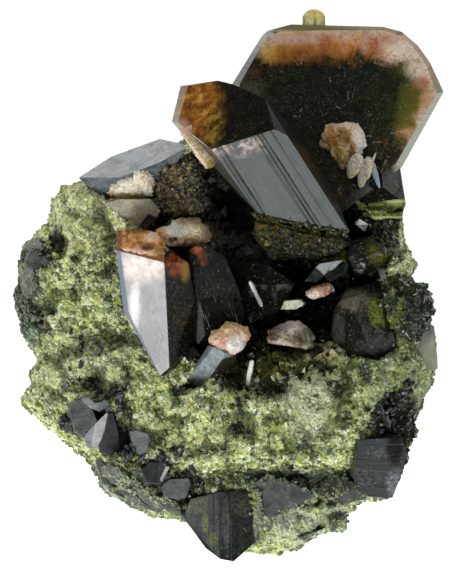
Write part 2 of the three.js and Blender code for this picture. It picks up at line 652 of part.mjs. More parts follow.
function ribCrystal() {
  const face = litFace(5, -16.8, 9, 0.02, 0.34);
  const top = face([[2.8, -15.4], [7.3, -15.2], [7.6, -17.4], [4.8, -18.4], [3, -18.2]]);
  return {
    name: "rib_crystal", color: 0x2f3334, roughness: 0.2,
    spans: [[...top, ...moved(top, [0, 0.8, -4])]],
    grooves: striae(face([[2.6, -15.8], [7.6, -15.7]]), face([[2.9, -18], [7.6, -17.2]]), 4,
      striaWidth, striaDepth),
  };
}

// Crystals in the order in which one keeps its shape where two meet
const crystals = [
  slimCrystal(),
  needle("needle_upper", [1.8, 0.6, 11.6], [2.8, -1.4, 9.2], 0.4),
  needle("needle_lower", [2, -5.8, 11.6], [1.6, -7.9, 8.8], 0.5),
  centralPrism(),
  tipCluster(),
  blockCrystal(),
  tippedPrism(),
  whitePrism(),
  cappedCrystal(),
  darkPrism(),
  slateCrystal(),
  brownCrystal(),
  shadowCrystal(),
  pinkCrystal(),
  paleCrystal(),
  silverCrystal(),
  roundCrystal(),
  smokyCrystal(),
  cornerCrystal(),
  blackGrains(),
  oliveCrystal(),
  innerCrystal(),
  nubCrystal(),
  tabularCrystal(),
  edgeSlab(),
  ...wedgeCrystals(),
  slabCrystal(),
  endPrisms(),
  ribCrystal(),
];

// The biggest of the bodies that a cut leaves, without loose crumbs
function biggestBody(solid) {
  const bodies = solid.decompose();
  return bodies.reduce((best, body) => (body.volume() > best.volume() ? body : best));
}

const group = new THREE.Group();

function addPiece(name, solid, color, roughness) {
  const geometry = toGeometry(solid);
  geometry.computeBoundingBox();
  const middle = geometry.boundingBox.getCenter(new THREE.Vector3());
  geometry.translate(-middle.x, -middle.y, -middle.z);
  const mesh = new THREE.Mesh(geometry, new THREE.MeshStandardMaterial({
    color, roughness, metalness: 0, flatShading: true,
  }));
  mesh.name = name;
  mesh.position.copy(middle);
  group.add(mesh);
}

let rock = toSolid(rockGeometry());
const seats = [];
for (const { name, color, roughness, spans, grooves = [] } of crystals) {
  let solid = spans.map(spanned).reduce((whole, span) => whole.add(span));
  for (const cut of grooves) {
    solid = solid.subtract(spanned(cut));
  }
  for (const seat of seats) {
    solid = solid.subtract(seat);
  }
  addPiece(name, biggestBody(solid), color, roughness);
  const seat = spans.map(spannedSeat).reduce((whole, span) => whole.add(span));
  seats.push(seat);
  rock = rock.subtract(seat);
}
addPiece("matrix", biggestBody(rock), 0x8f9160, 0.75);

export default group;
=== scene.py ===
"""A clinozoisite crystal cluster: dark prisms and a plate grown in a hollow of granular rock.

The file is laid out as an add-on and run as a script. Shapes are worked out in millimetres, with +Z
out of the flat back towards the crystals, and put into meshes in metres.
"""
from itertools import product
from types import SimpleNamespace

import bmesh
import bpy
import numpy as np
from bpy.props import FloatProperty, FloatVectorProperty, IntProperty, PointerProperty
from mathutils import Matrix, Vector


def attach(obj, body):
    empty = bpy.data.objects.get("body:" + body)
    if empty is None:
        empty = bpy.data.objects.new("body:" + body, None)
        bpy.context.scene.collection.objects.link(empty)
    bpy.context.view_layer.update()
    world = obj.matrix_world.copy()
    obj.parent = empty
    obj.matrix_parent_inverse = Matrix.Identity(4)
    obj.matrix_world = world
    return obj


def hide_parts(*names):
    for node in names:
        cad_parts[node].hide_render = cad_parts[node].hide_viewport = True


bl_info = {
    "name": "Clinozoisite crystal cluster",
    "version": (1, 0, 0),
    "blender": (4, 5, 0),
    "location": "3D View > Sidebar > Crystal cluster",
    "description": "Grows the rock, its grains and its crystals round the packed frame",
    "category": "Object",
}

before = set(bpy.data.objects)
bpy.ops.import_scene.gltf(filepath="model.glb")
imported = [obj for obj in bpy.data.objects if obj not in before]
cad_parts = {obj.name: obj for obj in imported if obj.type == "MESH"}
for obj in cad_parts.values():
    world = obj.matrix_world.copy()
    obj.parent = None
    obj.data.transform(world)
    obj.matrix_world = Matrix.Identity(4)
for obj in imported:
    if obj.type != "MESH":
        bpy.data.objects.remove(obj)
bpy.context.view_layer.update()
MM = 0.001
BODY = "root"

# The rock's outline, seen from the front, anticlockwise from the upper left, in mm
ROCK_OUTLINE = [
    (-13.6, 8.5), (-14.4, 7.3), (-14.5, 6.4), (-15.3, 5), (-17, 3.6), (-17.3, 2.1), (-17.1, 1.1),
    (-17.6, -0.9), (-17, -3.4), (-16.2, -5), (-15.8, -5.8), (-16.3, -6.8), (-16.2, -7.8), (-17.1, -9.2),
    (-14.8, -11.5), (-13.1, -12.8), (-11.2, -14.5), (-10.7, -15.9), (-9.7, -17.1), (-6.3, -18.6),
    (-3.8, -19.1), (-1.8, -20.6), (0.4, -21.5), (2.5, -21.7), (4.1, -21.8), (6.1, -21.3), (7.9, -20),
    (9.5, -20), (10.6, -17.9), (13, -17.1), (14.2, -15.1), (14.6, -13.5), (15.4, -12.3), (15.3, -10.7),
    (16.4, -8.9), (17.1, -6.6), (17.1, -4.6), (16.6, -2.7), (16.6, -1.4), (15.9, 0), (15.3, 1),
    (15.6, 2.1), (14.8, 3.3), (14.5, 5.1), (14.4, 6.4), (13.4, 9.2), (11.4, 11.2), (8.3, 12),
    (4.3, 12.4), (0.6, 12.8), (-2.6, 12.7), (-5.5, 11.4), (-8.7, 10), (-11.5, 8.9),
]
ROCK_MIDDLE = (1, -2)
HOLLOW = SimpleNamespace(x=2.4, y=1.2, rx=10.4, ry=8.2)

# Broad swellings and pits of the rock's front: x, y, radius and height
SWELLINGS = [
    (6.8, -8.9, 2.4, 2.5), (12.4, -14, 2.4, -1.3), (-12.6, 3.4, 2.6, 0.8), (-13.2, -4.6, 2, -1.0),
    (-11, -7.6, 1.6, -0.8), (-13.8, 3.6, 0.9, -1.3), (-2.6, -9.4, 2.2, 0.9), (1.4, -11.1, 1.1, -1.1),
    (12.6, -8, 2.4, 0.9), (14.4, -1.4, 1.9, 2.2), (13.4, 2.6, 1.8, 1.6), (14, -11.4, 1.6, -1.6),
    (6.4, -19.4, 2, 1.4), (-8.8, -15.6, 2, 0.6), (1.4, -7, 1.6, -1.9), (4, -7.4, 1.2, -0.8),
]

# Where the rock is painted dark, for its own dark patches and as painted shade in the hollow and in the
# pits: x, y, radius along x, radius along y and how much
DARK_AND_SHADED_PLACES = [
    (2.6, 1.4, 10.2, 7.4, 1.0), (-13.7, 4.1, 0.5, 1.2, 0.9), (-15.6, 2.6, 1.5, 0.8, 0.75),
    (-16.8, -1.4, 0.9, 2.6, 0.6), (-14.9, -3.1, 0.6, 0.7, 0.9), (-11.4, -4.9, 1.8, 0.8, 0.3),
    (-12.4, -7.9, 1.2, 0.6, 0.5), (-10.2, -8.6, 1.2, 0.6, 0.45), (-13, -10.9, 0.8, 0.8, 1.0),
    (-8.8, -11.6, 1.2, 2.0, 0.75), (-8, -14.4, 3.4, 0.8, 0.5), (-3.6, -15.7, 3.6, 1.0, 0.6),
    (0.7, -11.3, 0.7, 0.6, 0.95), (0.2, -7.3, 1.6, 1.1, 0.9), (3.9, -7.5, 1.5, 1.6, 0.9),
    (-3.8, -8.3, 1.0, 0.4, 0.7), (2.8, -15.4, 4.8, 0.8, 0.4), (-3.3, -17.2, 1.2, 1.8, 1.0),
    (8.4, -15.6, 2.6, 0.8, 0.6), (9, -8.4, 0.5, 1.0, 0.85), (13.6, -10.8, 2.0, 2.4, 1.0),
    (12.6, -14.4, 2.4, 2.6, 0.95), (8.3, -17.6, 0.6, 0.3, 1.0), (15, -1.8, 2.6, 2.6, 0.9),
    (10.6, 6.6, 5.4, 5.6, 0.95), (3.8, -6.2, 4.4, 1.2, 0.7), (11.2, -6.9, 0.5, 1.2, 0.6),
    (-9.6, -18, 3, 1.4, 0.35), (8.6, -18.6, 1.4, 0.35, 0.85), (8, -19.4, 1.2, 0.3, 0.85),
    (7.2, -20.6, 0.9, 0.5, 0.7), (-6.8, 3.4, 0.8, 3.0, 0.4), (-11.2, -10.6, 2.2, 1.6, 0.8),
    (-6.2, -14.6, 1.8, 1.0, 0.7),
]

# Where the rock stays light or turns pale: x, y, radius along x, radius along y
LIGHT_PLACES = [
    (14.5, 4.2, 0.7, 1.3), (15, 2.1, 0.7, 1.2), (6.6, -9.2, 1.9, 2.6), (9.6, -3.8, 0.6, 0.9),
    (12.6, 2.2, 1.4, 0.8), (7.0, -5.4, 1.6, 0.5), (5.4, -19.4, 3.6, 1.6), (-12.4, 6.2, 2.6, 1.2),
    (13.6, 1.2, 1.3, 0.9),
]

# The tabular crystal: the edge of its face, and of its bevels, anticlockwise from the right
PLATE_FACE = [
    (16.9, 15.8), (16.1, 18.1), (15.1, 19.5), (14, 20.5), (12.7, 20.9), (7.9, 20.9), (4.2, 20.8),
    (3.1, 20.3), (1, 16.6), (0.3, 12.5), (4.7, 7.6), (8.7, 6.8), (13.6, 10.1),
]
PLATE_EDGE = [
    (17.5, 15.9), (16.4, 18.3), (15.4, 19.7), (14.1, 20.8), (12.6, 21.2), (5.1, 21.4), (3.3, 20.9),
    (2.8, 20.5), (0.4, 16.6), (-0.4, 12.4), (3.8, 6.9), (9.1, 6), (14.1, 9.8),
]

# Flat faces of the small crystals, by the node that they belong to, and last those of the rock: each
# with its lift, its slopes along x and y, its brightness and its corners. The brightness is partly painted
# light and shade: lit faces brighter, faces turned from the light darker. A face's first edge gives the
# way its fine lines run.
FACETS = {
    "wedge_crystal_1": [
        (0.2, 0.12, 0.2, 0.36, [(-12.4, -9), (-11.8, -9), (-11, -9.7), (-10.6, -10.7), (-11.3, -11.5),
                                (-11.7, -12), (-12.4, -11.5), (-12.8, -9.8)]),
        (0.1, 0.1, 0.1, 0.55, [(-11.9, -8.9), (-11.3, -8.8), (-10.7, -9.3), (-9.8, -9.1), (-9.5, -9.4),
                               (-10.1, -9.7), (-10.4, -9.9), (-11.1, -9.6)]),
        (-0.4, 0.3, 0.3, 0.1, [(-13.4, -10.7), (-12.9, -10.3), (-12.3, -11.5), (-13.1, -11.6)])],
    "wedge_crystal_2": [
        (0.1, 0.45, 0.1, 0.66, [(-11.6, -12), (-11.1, -11.3), (-10.7, -11), (-10.9, -11.9), (-11, -13),
                                (-11.4, -12.8)]),
        (0.2, 0.25, 0.4, 0.66, [(-10.7, -11), (-9.8, -10.1), (-9.7, -10.2), (-10, -11.5), (-10.4, -12.7),
                                (-11, -13), (-10.9, -11.9)]),
        (0.1, -0.5, 0.1, 0.14, [(-9.8, -10.2), (-9.3, -10), (-8.9, -11.6), (-8.7, -13.2), (-9.4, -13.6),
                                (-10.3, -13.2), (-10.4, -12.7), (-10, -11.5)]),
        (-0.1, -0.5, -0.1, 0.1, [(-8.9, -11.6), (-8.1, -11.3), (-7.3, -12.8), (-7.7, -13.6),
                                 (-8.7, -13.2)])],
    "wedge_crystal_3": [
        (0.0, 0.2, 0.3, 0.42, [(-7.9, -11.6), (-7.4, -11.5), (-6.5, -11.8), (-6.3, -12.3), (-6.6, -13.2),
                               (-7.1, -13.5), (-7.7, -12.8)])],
    "wedge_crystal_4": [
        (0.1, -0.2, 0.1, 0.16, [(-6.9, -14.7), (-6.3, -14.1), (-5.5, -14.1), (-5.6, -15.8), (-6.6, -15.7)]),
        (0.0, -0.5, 0.2, 0.3, [(-5.5, -14.1), (-4.9, -14.4), (-4.9, -15.3), (-5.6, -15.8)]),
        (0.35, 0.3, 0.4, 0.7, [(-5, -14.4), (-4.7, -14.5), (-5.3, -15.6), (-5.5, -15.5)])],
    "wedge_crystal_5": [
        (0.1, 0.15, 0.3, 0.3, [(-4.7, -15.5), (-3.2, -15.4), (-3, -15.9), (-3.4, -16.9), (-4, -17.1),
                               (-5.1, -16.8), (-5.4, -16.1)])],
    "wedge_crystal_6": [
        (0.1, 0.3, 0.2, 0.3, [(-16.4, 2.1), (-16, 3), (-14.8, 3.1), (-14.3, 2.6), (-14.5, 1.7),
                              (-16, 1.6)])],
    "silver_crystal": [
        (0.05, 0.28, 0.46, 0.58, [(7.2, 1.7), (7.5, 2), (9.3, 2.3), (8.7, 1.7), (7.9, 1.1)]),
        (0.0, -0.3, 0.6, 0.15, [(6.3, 0.6), (7.2, 1.7), (7.9, 1.1), (7.3, 0.6)]),
        (0.0, -0.5, -0.2, 0.1, [(7.9, 1.1), (8.7, 1.7), (9.8, 2.1), (9.6, 1.3), (8.4, 0.6)])],
    "shadow_crystal": [
        (0.6, 0.28, 0.4, 0.62, [(-9.9, 6.9), (-8.7, 7.2), (-6.3, 7.2), (-5.5, 6.3), (-5.9, 5.5), (-7.1, 5),
                                (-7.9, 5.4), (-9.1, 6.3)])],
    "rib_crystal": [
        (0.1, 0.05, 0.34, 0.3, [(3.4, -15.3), (5.3, -15.8), (7.3, -16.9), (5.1, -17.8), (3.4, -18.8),
                                (2.8, -18.2), (2.3, -17), (1.8, -15.9)])],
    "": [
        (0.1, 0.0, 0.0, 0.42, [(-16.5, 3.5), (-15.5, 4.1), (-14.4, 3.7), (-14.7, 3), (-16, 3)]),
        (0.1, 0.0, 0.0, 0.32, [(-16.6, 1.5), (-15.8, 1.7), (-15.5, -0.1), (-16.3, -0.9), (-16.7, 0)]),
        (0.1, 0.1, 0.1, 0.3, [(-10.2, -14.5), (-9.5, -14.2), (-8.9, -14.4), (-8.3, -15.3), (-8.9, -15.9),
                              (-9.7, -15.8), (-10.2, -15.1)]),
        (0.1, -0.1, 0.0, 0.22, [(-10.7, -14.1), (-10.2, -13.9), (-10.2, -15.2), (-9.4, -16.2), (-8.5, -17),
                                (-9.4, -16.6), (-10.2, -15.8)]),
        (0.1, 0.1, 0.1, 0.38, [(-8.3, -15.3), (-7.7, -15.5), (-5.1, -17.8), (-5.6, -18.2), (-6.9, -17.2)]),
        (0.1, -0.1, -0.1, 0.34, [(-9.2, -16.2), (-8.3, -16), (-6.9, -17.4), (-5.5, -18.3), (-6.3, -18.2),
                                 (-8.1, -17.4)]),
        (0.1, 0.1, 0.2, 0.3, [(-6.1, -17.1), (-5.3, -17), (-4, -17.5), (-3.7, -18.4), (-4.7, -18.2)]),
        (0.1, -0.2, 0.0, 0.24, [(-7.7, -14.1), (-6.9, -14.7), (-6.6, -15.7), (-7.4, -15.3)]),
        (0.1, 0.0, 0.1, 0.14, [(5.5, -15.5), (7.1, -15.5), (6.8, -16.9)]),
        (0.1, 0.1, 0.1, 0.26, [(7.5, -15.9), (9.5, -15.3), (9.5, -16.5), (7.7, -16.9)]),
        (0.1, 0.1, 0.1, 0.3, [(9.5, -15.5), (11.7, -16.2), (11.2, -17.1), (9.1, -17.6), (8.3, -17.1)]),
        (0.5, -0.2, 0.1, 0.62, [(2.1, -16.6), (2.5, -16.5), (2.9, -20.4), (2.5, -20.6)]),
        (0.3, 0.1, 0.3, 0.24, [(5.8, -20.2), (7.9, -19.5), (7.7, -20.6), (6.6, -21.4)]),
        (0.1, 0.1, 0.1, 0.6, [(11.6, -16.9), (12.4, -16.6), (13.2, -17.2), (12, -17.6)])],
}


# Settings

def length(name, description, value):
    """A length setting, from a value in mm"""
    return FloatProperty(name=name, description=description, default=value * MM, unit="LENGTH")


def glow(name, description, value):
    """A brightness setting"""
    return FloatProperty(name=name, description=description, default=value, min=0)


def colour(name, description, value):
    """A colour setting"""
    return FloatVectorProperty(name=name, description=description, default=value, min=0, max=1,
                               subtype="COLOR")


class RockSettings(bpy.types.PropertyGroup):
    """Sizes of the rock and its grains"""

    ledge_height: length("Ledge height", "Front of the rocky ledge above the back", 10.6)
    rim_height: length("Rim height", "Widest line of the rock above the back", 5.2)
    hollow_floor: length("Hollow floor", "Floor of the hollow that the crystals stand in", 6.6)
    low_step: length("Low step", "Drop of the dark band along the lower edge", 2.4)
    back_inset: FloatProperty(name="Back inset", description="The back's outline against the widest one",
                              default=0.84, min=0.5, max=1.0, subtype="FACTOR")
    boulder_rise: length("Boulder rise", "How far a boulder stands out", 1.3)
    lump_rise: length("Lump rise", "How far a lump stands out of its boulder", 0.8)
    crumb_rise: length("Crumb rise", "Depth of the finest relief", 0.6)
    grain_size: length("Grain size", "Width of a common grain", 0.24)
    grain_count: IntProperty(name="Grains", description="Grains in each of the four sorts",
                             default=15000, min=1000, max=16000)


class CrystalSettings(bpy.types.PropertyGroup):
    """Sizes of the crystals' fine forms"""

    edge_round: length("Edge width", "Width of the tiny faces along a crystal's edges", 0.05)
    stria_step: length("Stria step", "Distance between the fine lines on a striated face", 0.09)
    stria_depth: length("Stria depth", "Depth of those lines", 0.012)
    plate_thickness: length("Plate thickness", "The tabular crystal from face to back", 3.2)
    plate_height: length("Plate height", "The tabular crystal's face above the back", 12.2)


class ColourSettings(bpy.types.PropertyGroup):
    """Main colours"""

    cream: colour("Cream", "The rock's palest grains", (0.97, 1.0, 0.74))
    leaf: colour("Yellow green", "The rock's common grains", (0.79, 0.9, 0.25))
    moss: colour("Dark green", "The rock between its grains", (0.13, 0.18, 0.085))
    night: colour("Black", "The dark crystals", (0.011, 0.01, 0.007))
    # The slate grey stands partly for a painted sheen on the satin faces
    slate: colour("Slate", "The grey faces", (0.13, 0.15, 0.16))
    blush: colour("Blush", "The pink and cream ends", (0.68, 0.42, 0.3))


class StageSettings(bpy.types.PropertyGroup):
    """Light and camera"""

    key_glow: glow("Key light", "Brightness of the soft box at the lower left", 8.5)
    fill_glow: glow("Fill light", "Brightness of the other soft boxes", 3.2)
    floor_glow: glow("Floor glow", "Light that the pale floor gives off", 0.75)
    camera_height: length("Camera height", "Camera above the crystals", 1000)


SETTINGS = {
    "cluster_rock": RockSettings, "cluster_crystals": CrystalSettings,
    "cluster_colours": ColourSettings, "cluster_stage": StageSettings,
}


def setting_names(group):
    """The names of a group's own settings"""
    return [name for name in group.bl_rna.properties.keys() if name not in ("rna_type", "name")]


def plain_settings(scene):
    """All settings as plain values: lengths in mm, and colours as tuples"""
    values = {}
    for holder in SETTINGS:
        group = getattr(scene, holder)
        for name in setting_names(group):
            value, kind = getattr(group, name), group.bl_rna.properties[name]
            values[name] = tuple(value) if kind.subtype == "COLOR" else value
            if kind.unit == "LENGTH":
                values[name] = value / MM
    return SimpleNamespace(**values)


# Numbers that look random but are the same on every run

def chance(*keys):
    """A number from 0 to 1 for whole numbers: the broken part of a large sine of their sum"""
    mixed = np.sin(sum(key * by for key, by in zip(keys, (127.1, 311.7, 74.7)))) * 43758.5453
    return mixed - np.floor(mixed)


def ease(t):
    """Smooth step: 0 below 0, 1 above 1, and 3t² - 2t³ between"""
    held = np.clip(t, 0, 1)
    return held * held * (3 - 2 * held)


def cloud(points, size, seed=0):
    """Smooth noise: chance values on a cubic lattice, blended by smooth steps between its corners"""
    scaled = points / size + 31.7 * seed
    cell = np.floor(scaled)
    part = ease(scaled - cell)
    total = 0
    for corner in product((0, 1), repeat=3):
        weight = np.prod(np.where(corner, part, 1 - part), axis=-1)
        total = total + weight * chance(*np.moveaxis(cell + corner, -1, 0))
    return total


def rough(points, size, octaves=3, seed=0):
    """Noise on noise: clouds whose size and share halve each time, scaled back to 0 to 1"""
    shares = 0.5 ** np.arange(octaves)
    layers = [share * cloud(points, size * share, seed + i) for i, share in enumerate(shares)]
    return sum(layers) / shares.sum()


def lumps(x, y, size):
    """Rounded lumps round scattered points: 1 less the squared distance to the nearest, from 0 to 1"""
    column, row = np.floor(x / size), np.floor(y / size)
    nearest = np.full(np.shape(x), np.inf)
    for i, j in product((-1, 0, 1), repeat=2):
        dx = (column + i + chance(column + i, row + j)) * size - x
        dy = (row + j + chance(row + j + 57, column + i)) * size - y
        nearest = np.minimum(nearest, np.hypot(dx, dy))
    return np.maximum(0, 1 - (nearest / size) ** 2)


# Meshes from arrays

def unit(ways):
    """Ways scaled to a length of 1"""
    return ways / np.maximum(np.linalg.norm(ways, axis=-1, keepdims=True), 1e-9)


def way(direction):
    """A direction as an array with a length of 1"""
    return np.array(Vector(direction).normalized())


def face_out(points, quads, triangles):
    """The faces of a closed mesh, turned outwards: they are reversed if the sum of a · (b × c) over their
    triangles is below zero"""
    corners = np.vstack([quads[:, (0, 1, 2)], quads[:, (0, 2, 3)], triangles])
    a, b, c = (points[corners[:, i]] for i in range(3))
    if np.einsum("ij,ij->", a, np.cross(b, c)) < 0:
        return quads[:, ::-1], triangles[:, ::-1]
    return quads, triangles


def put_mesh(name, points, quads=(), triangles=(), smooth=False, values=None):
    """An object at the origin with these points in mm and its faces turned outwards. values holds one
    number a point under each attribute's name."""
    quads, triangles = face_out(points, np.asarray(quads, int).reshape(-1, 4),
                                np.asarray(triangles, int).reshape(-1, 3))
    mesh = bpy.data.meshes.new(name)
    mesh.vertices.add(len(points))
    mesh.vertices.foreach_set("co", (points * MM).astype(np.float32).ravel())
    loops = np.concatenate([quads.ravel(), triangles.ravel()])
    mesh.loops.add(len(loops))
    mesh.loops.foreach_set("vertex_index", loops.astype(np.int32))
    starts = np.concatenate([4 * np.arange(len(quads)), 4 * len(quads) + 3 * np.arange(len(triangles))])
    mesh.polygons.add(len(starts))
    mesh.polygons.foreach_set("loop_start", starts.astype(np.int32))
    mesh.update(calc_edges=True)
    if mesh.validate():
        raise RuntimeError(f"{name} has faces that Blender had to mend")
    mesh.polygons.foreach_set("use_smooth", np.full(len(starts), smooth))
    for label, numbers in (values or {}).items():
        numbers = np.asarray(numbers, np.float32).ravel()
        mesh.attributes.new(label, "FLOAT", "POINT").data.foreach_set("value", numbers)
    piece = bpy.data.objects.new(name, mesh)
    bpy.context.scene.collection.objects.link(piece)
    return piece


def skin_faces(rows, around):
    """Quads between rings of points, and fans from the two points after them that close the ends"""
    i, ring = np.arange(rows - 1)[:, None] * around, np.arange(around)
    beside = (ring + 1) % around
    quads = np.stack([i + ring, i + beside, i + around + beside, i + around + ring], axis=-1)
    pole, last = np.full(around, rows * around), (rows - 1) * around
    fans = [np.stack([pole, beside, ring], axis=-1),
            np.stack([pole + 1, last + ring, last + beside], axis=-1)]
    return quads.reshape(-1, 4), np.vstack(fans)


def with_ends(rings, width):
    """Rings as rows of that many numbers, and after them the means of the first ring and of the last"""
    ends = np.stack([rings[0].mean(axis=0), rings[-1].mean(axis=0)])
    return np.vstack([rings.reshape(-1, width), ends.reshape(-1, width)])


def put_skins(name, skins, smooth=True):
    """Closed skins in one mesh. Each is rings of points, joined ring to ring and closed by a fan at both
    ends, with the numbers that its points hold under each attribute's name."""
    points, quads, fans, start = [], [], [], 0
    for rings, _ in skins:
        flat = with_ends(rings, 3)
        quad, fan = face_out(flat - flat.mean(axis=0), *skin_faces(*rings.shape[:2]))
        points.append(flat)
        quads.append(quad + start)
        fans.append(fan + start)
        start += len(flat)
    values = {label: np.concatenate([with_ends(held[label], 1) for _, held in skins])
              for label in skins[0][1]}
    return put_mesh(name, *map(np.vstack, (points, quads, fans)), smooth, values)


def put_skin(name, rings, smooth=True, **values):
    """One closed skin"""
    return put_skins(name, [(rings, values)], smooth)


def finish_piece(piece, material, slot, *nodes):
    """Gives a piece its material and its body, and hides the nodes it stands for. The slot is not used."""
    piece.data.materials.append(material)
    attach(piece, BODY)
    if nodes:
        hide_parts(*nodes)


def along_outline(outline, count, leader=None):
    """Points at even steps along a closed outline. With a leader, an outline with as many corners, they
    keep step with even points along that."""
    lead, closed = (np.array([*line, line[0]], float) for line in (leader or outline, outline))
    reach = np.append(0, np.cumsum(np.hypot(*np.diff(lead, axis=0).T)))
    steps = np.linspace(0, reach[-1], count, endpoint=False)
    return np.stack([np.interp(steps, reach, closed[:, axis]) for axis in (0, 1)], axis=-1)


def outline_distance(points, outline):
    """Distance from each point to the nearest stretch of a closed outline"""
    starts = np.array(outline, float)
    nearest = np.full(points.shape[:-1], np.inf)
    for start, step in zip(starts, np.roll(starts, -1, axis=0) - starts):
        away = points - start
        t = np.clip(away @ step / (step @ step), 0, 1)
        nearest = np.minimum(nearest, np.linalg.norm(away - t[..., None] * step, axis=-1))
    return nearest


def rim_share(points):
    """How far places lie from the middle of the rock towards its outline: 1 on the outline"""
    away = (points[..., :2] - np.array(ROCK_MIDDLE)).T
    around = (along_outline(ROCK_OUTLINE, 720) - np.array(ROCK_MIDDLE)).T
    order = np.argsort(np.arctan2(around[1], around[0]))
    around = around[:, order]
    reach = np.interp(np.arctan2(away[1], away[0]), np.arctan2(around[1], around[0]), np.hypot(*around),
                      period=2 * np.pi)
    return np.hypot(*away) / reach


def ring_normals(rings):
    """Normals of a skin: the cross product of its steps round the ring and from ring to ring"""
    around = np.roll(rings, -1, axis=1) - np.roll(rings, 1, axis=1)
    return unit(np.cross(around, np.gradient(rings, axis=0)))


# Flat-faced crystals, from the corners of the frame's nodes

def node_corners(node, keep=None):
    """The different corners of a node's mesh, in mm, or those of them that keep says"""
    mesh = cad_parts[node].data
    flat = np.empty(3 * len(mesh.vertices), np.float32)
    mesh.vertices.foreach_get("co", flat)
    corners = np.unique(np.round(flat.reshape(-1, 3) / MM, 3), axis=0)
    return corners if keep is None else corners[keep(corners)]


def hull(corners):
    """The flat-faced solid that the corners span, with its level neighbours joined, in mm"""
    shape = bmesh.new()
    for corner in corners:
        shape.verts.new(corner)
    made = bmesh.ops.convex_hull(shape, input=shape.verts[:])
    loose = {item for item in made["geom_interior"] + made["geom_unused"]
             if isinstance(item, bmesh.types.BMVert)}
    bmesh.ops.delete(shape, geom=list(loose), context="VERTS")
    bmesh.ops.dissolve_limit(shape, angle_limit=0.05, verts=shape.verts[:], edges=shape.edges[:])
    bmesh.ops.recalc_face_normals(shape, faces=shape.faces[:])
    return shape


def hull_planes(corners):
    """Outward normals and distances of the hull's faces"""
    shape = hull(corners)
    normals = np.array([face.normal[:] for face in shape.faces])
    offsets = np.array([face.normal.dot(face.calc_center_median()) for face in shape.faces])
    shape.free()
    return normals, offsets


def top_of(node, x, y):
    """Height of a crystal's upper faces above places in the plan"""
    normals, offsets = hull_planes(node_corners(node))
    upper = normals[:, 2] > 0.3
    flat = np.stack([np.asarray(x, float), np.asarray(y, float)], axis=-1) @ normals[upper, :2].T
    return ((offsets[upper] - flat) / normals[upper, 2]).min(axis=-1)


def over(node, x, y, margin=0.15):
    """Which places of the plan lie over a crystal's upper faces, inside its steep ones"""
    normals, offsets = hull_planes(node_corners(node))
    steep = normals[:, 2] <= 0.3
    places = np.column_stack([x, y, top_of(node, x, y)])
    return (places @ normals[steep].T - offsets[steep]).max(axis=1) < -margin


def along_edges(starts, ends, per_mm, dice):
    """Places by chance on straight edges: an edge in the measure of its length, and a share of it"""
    reach = np.linalg.norm(ends - starts, axis=1)
    picks = dice.choice(len(reach), int(reach.sum() * per_mm), p=reach / reach.sum())
    share = dice.random((len(picks), 1))
    return ends[picks] + (starts[picks] - ends[picks]) * share


def slice_up(shape, direction, step):
    """Cuts the faces along level planes at even steps in one direction"""
    direction = Vector(direction).normalized()
    reach = [direction.dot(vert.co) for vert in shape.verts]
    for level in np.arange(min(reach) + step / 2, max(reach), step):
        bmesh.ops.bisect_plane(
            shape, geom=shape.verts[:] + shape.edges[:] + shape.faces[:],
            plane_co=direction * level, plane_no=direction, dist=1e-5)


def crystal_mesh(name, corners, settings, striae=None, grooves=(), crumple=None):
    """A crystal from its corners: its hull, with narrow faces along the edges.

    A striated face is given by the ways that it faces and that it runs. It is cut into strips along the
    crystal, and each point of it sinks by a depth that depends on its place across the face: a V at
    each groove, given by its middle, width and depth, and fine steps between. A crumpled crystal is cut
    all over, and its points move in by a noise: crumple holds its depth, its size and the distance
    between the cuts.
    """
    shape = hull(corners)
    bmesh.ops.bevel(shape, geom=shape.edges[:], offset=settings.edge_round, offset_type="OFFSET",
                    segments=2, profile=0.6, affect="EDGES", clamp_overlap=True)
    if striae:
        facing, along = map(way, striae)
        across = unit(np.cross(facing, along))
        onwards = np.cross(across, facing)
        step = settings.stria_step
        slice_up(shape, across, step)
        slice_up(shape, onwards, 6 * step)
    if crumple:
        for axis in ((1, 0, 0.1), (0, 1, 0.1), (0.1, 0, 1)):
            slice_up(shape, axis, crumple[2])
    bmesh.ops.triangulate(shape, faces=[face for face in shape.faces if len(face.verts) > 4])
    shape.normal_update()
    shape.verts.index_update()
    points = np.array([vert.co[:] for vert in shape.verts])
    normals = np.array([vert.normal[:] for vert in shape.verts])
    quads, triangles = ([[vert.index for vert in face.verts] for face in shape.faces
                         if len(face.verts) == corners_each] for corners_each in (4, 3))
    shape.free()
    if striae:
        on_face = ease((normals @ facing - 0.8) / 0.15)
        place = points @ across
        held = place[on_face > 0.9]
        share = (place - held.min()) / (held.max() - held.min())
        steps = np.stack([place / step, points @ onwards / 9, 0 * place], axis=-1)
        sunk = settings.stria_depth * cloud(steps, 1.0, 3)
        wander = 0.006 * (cloud(points, 3.0, 5) - 0.5)
        for middle, width, depth in grooves:
            sunk = sunk + depth * np.maximum(0, 1 - np.abs(share + wander - middle) / width)
        points = points - (on_face * sunk)[:, None] * facing
    if crumple:
        points = points - (crumple[0] * rough(points, crumple[1], 3, 7))[:, None] * normals
    return put_mesh(name, points, quads, triangles)


# Rock

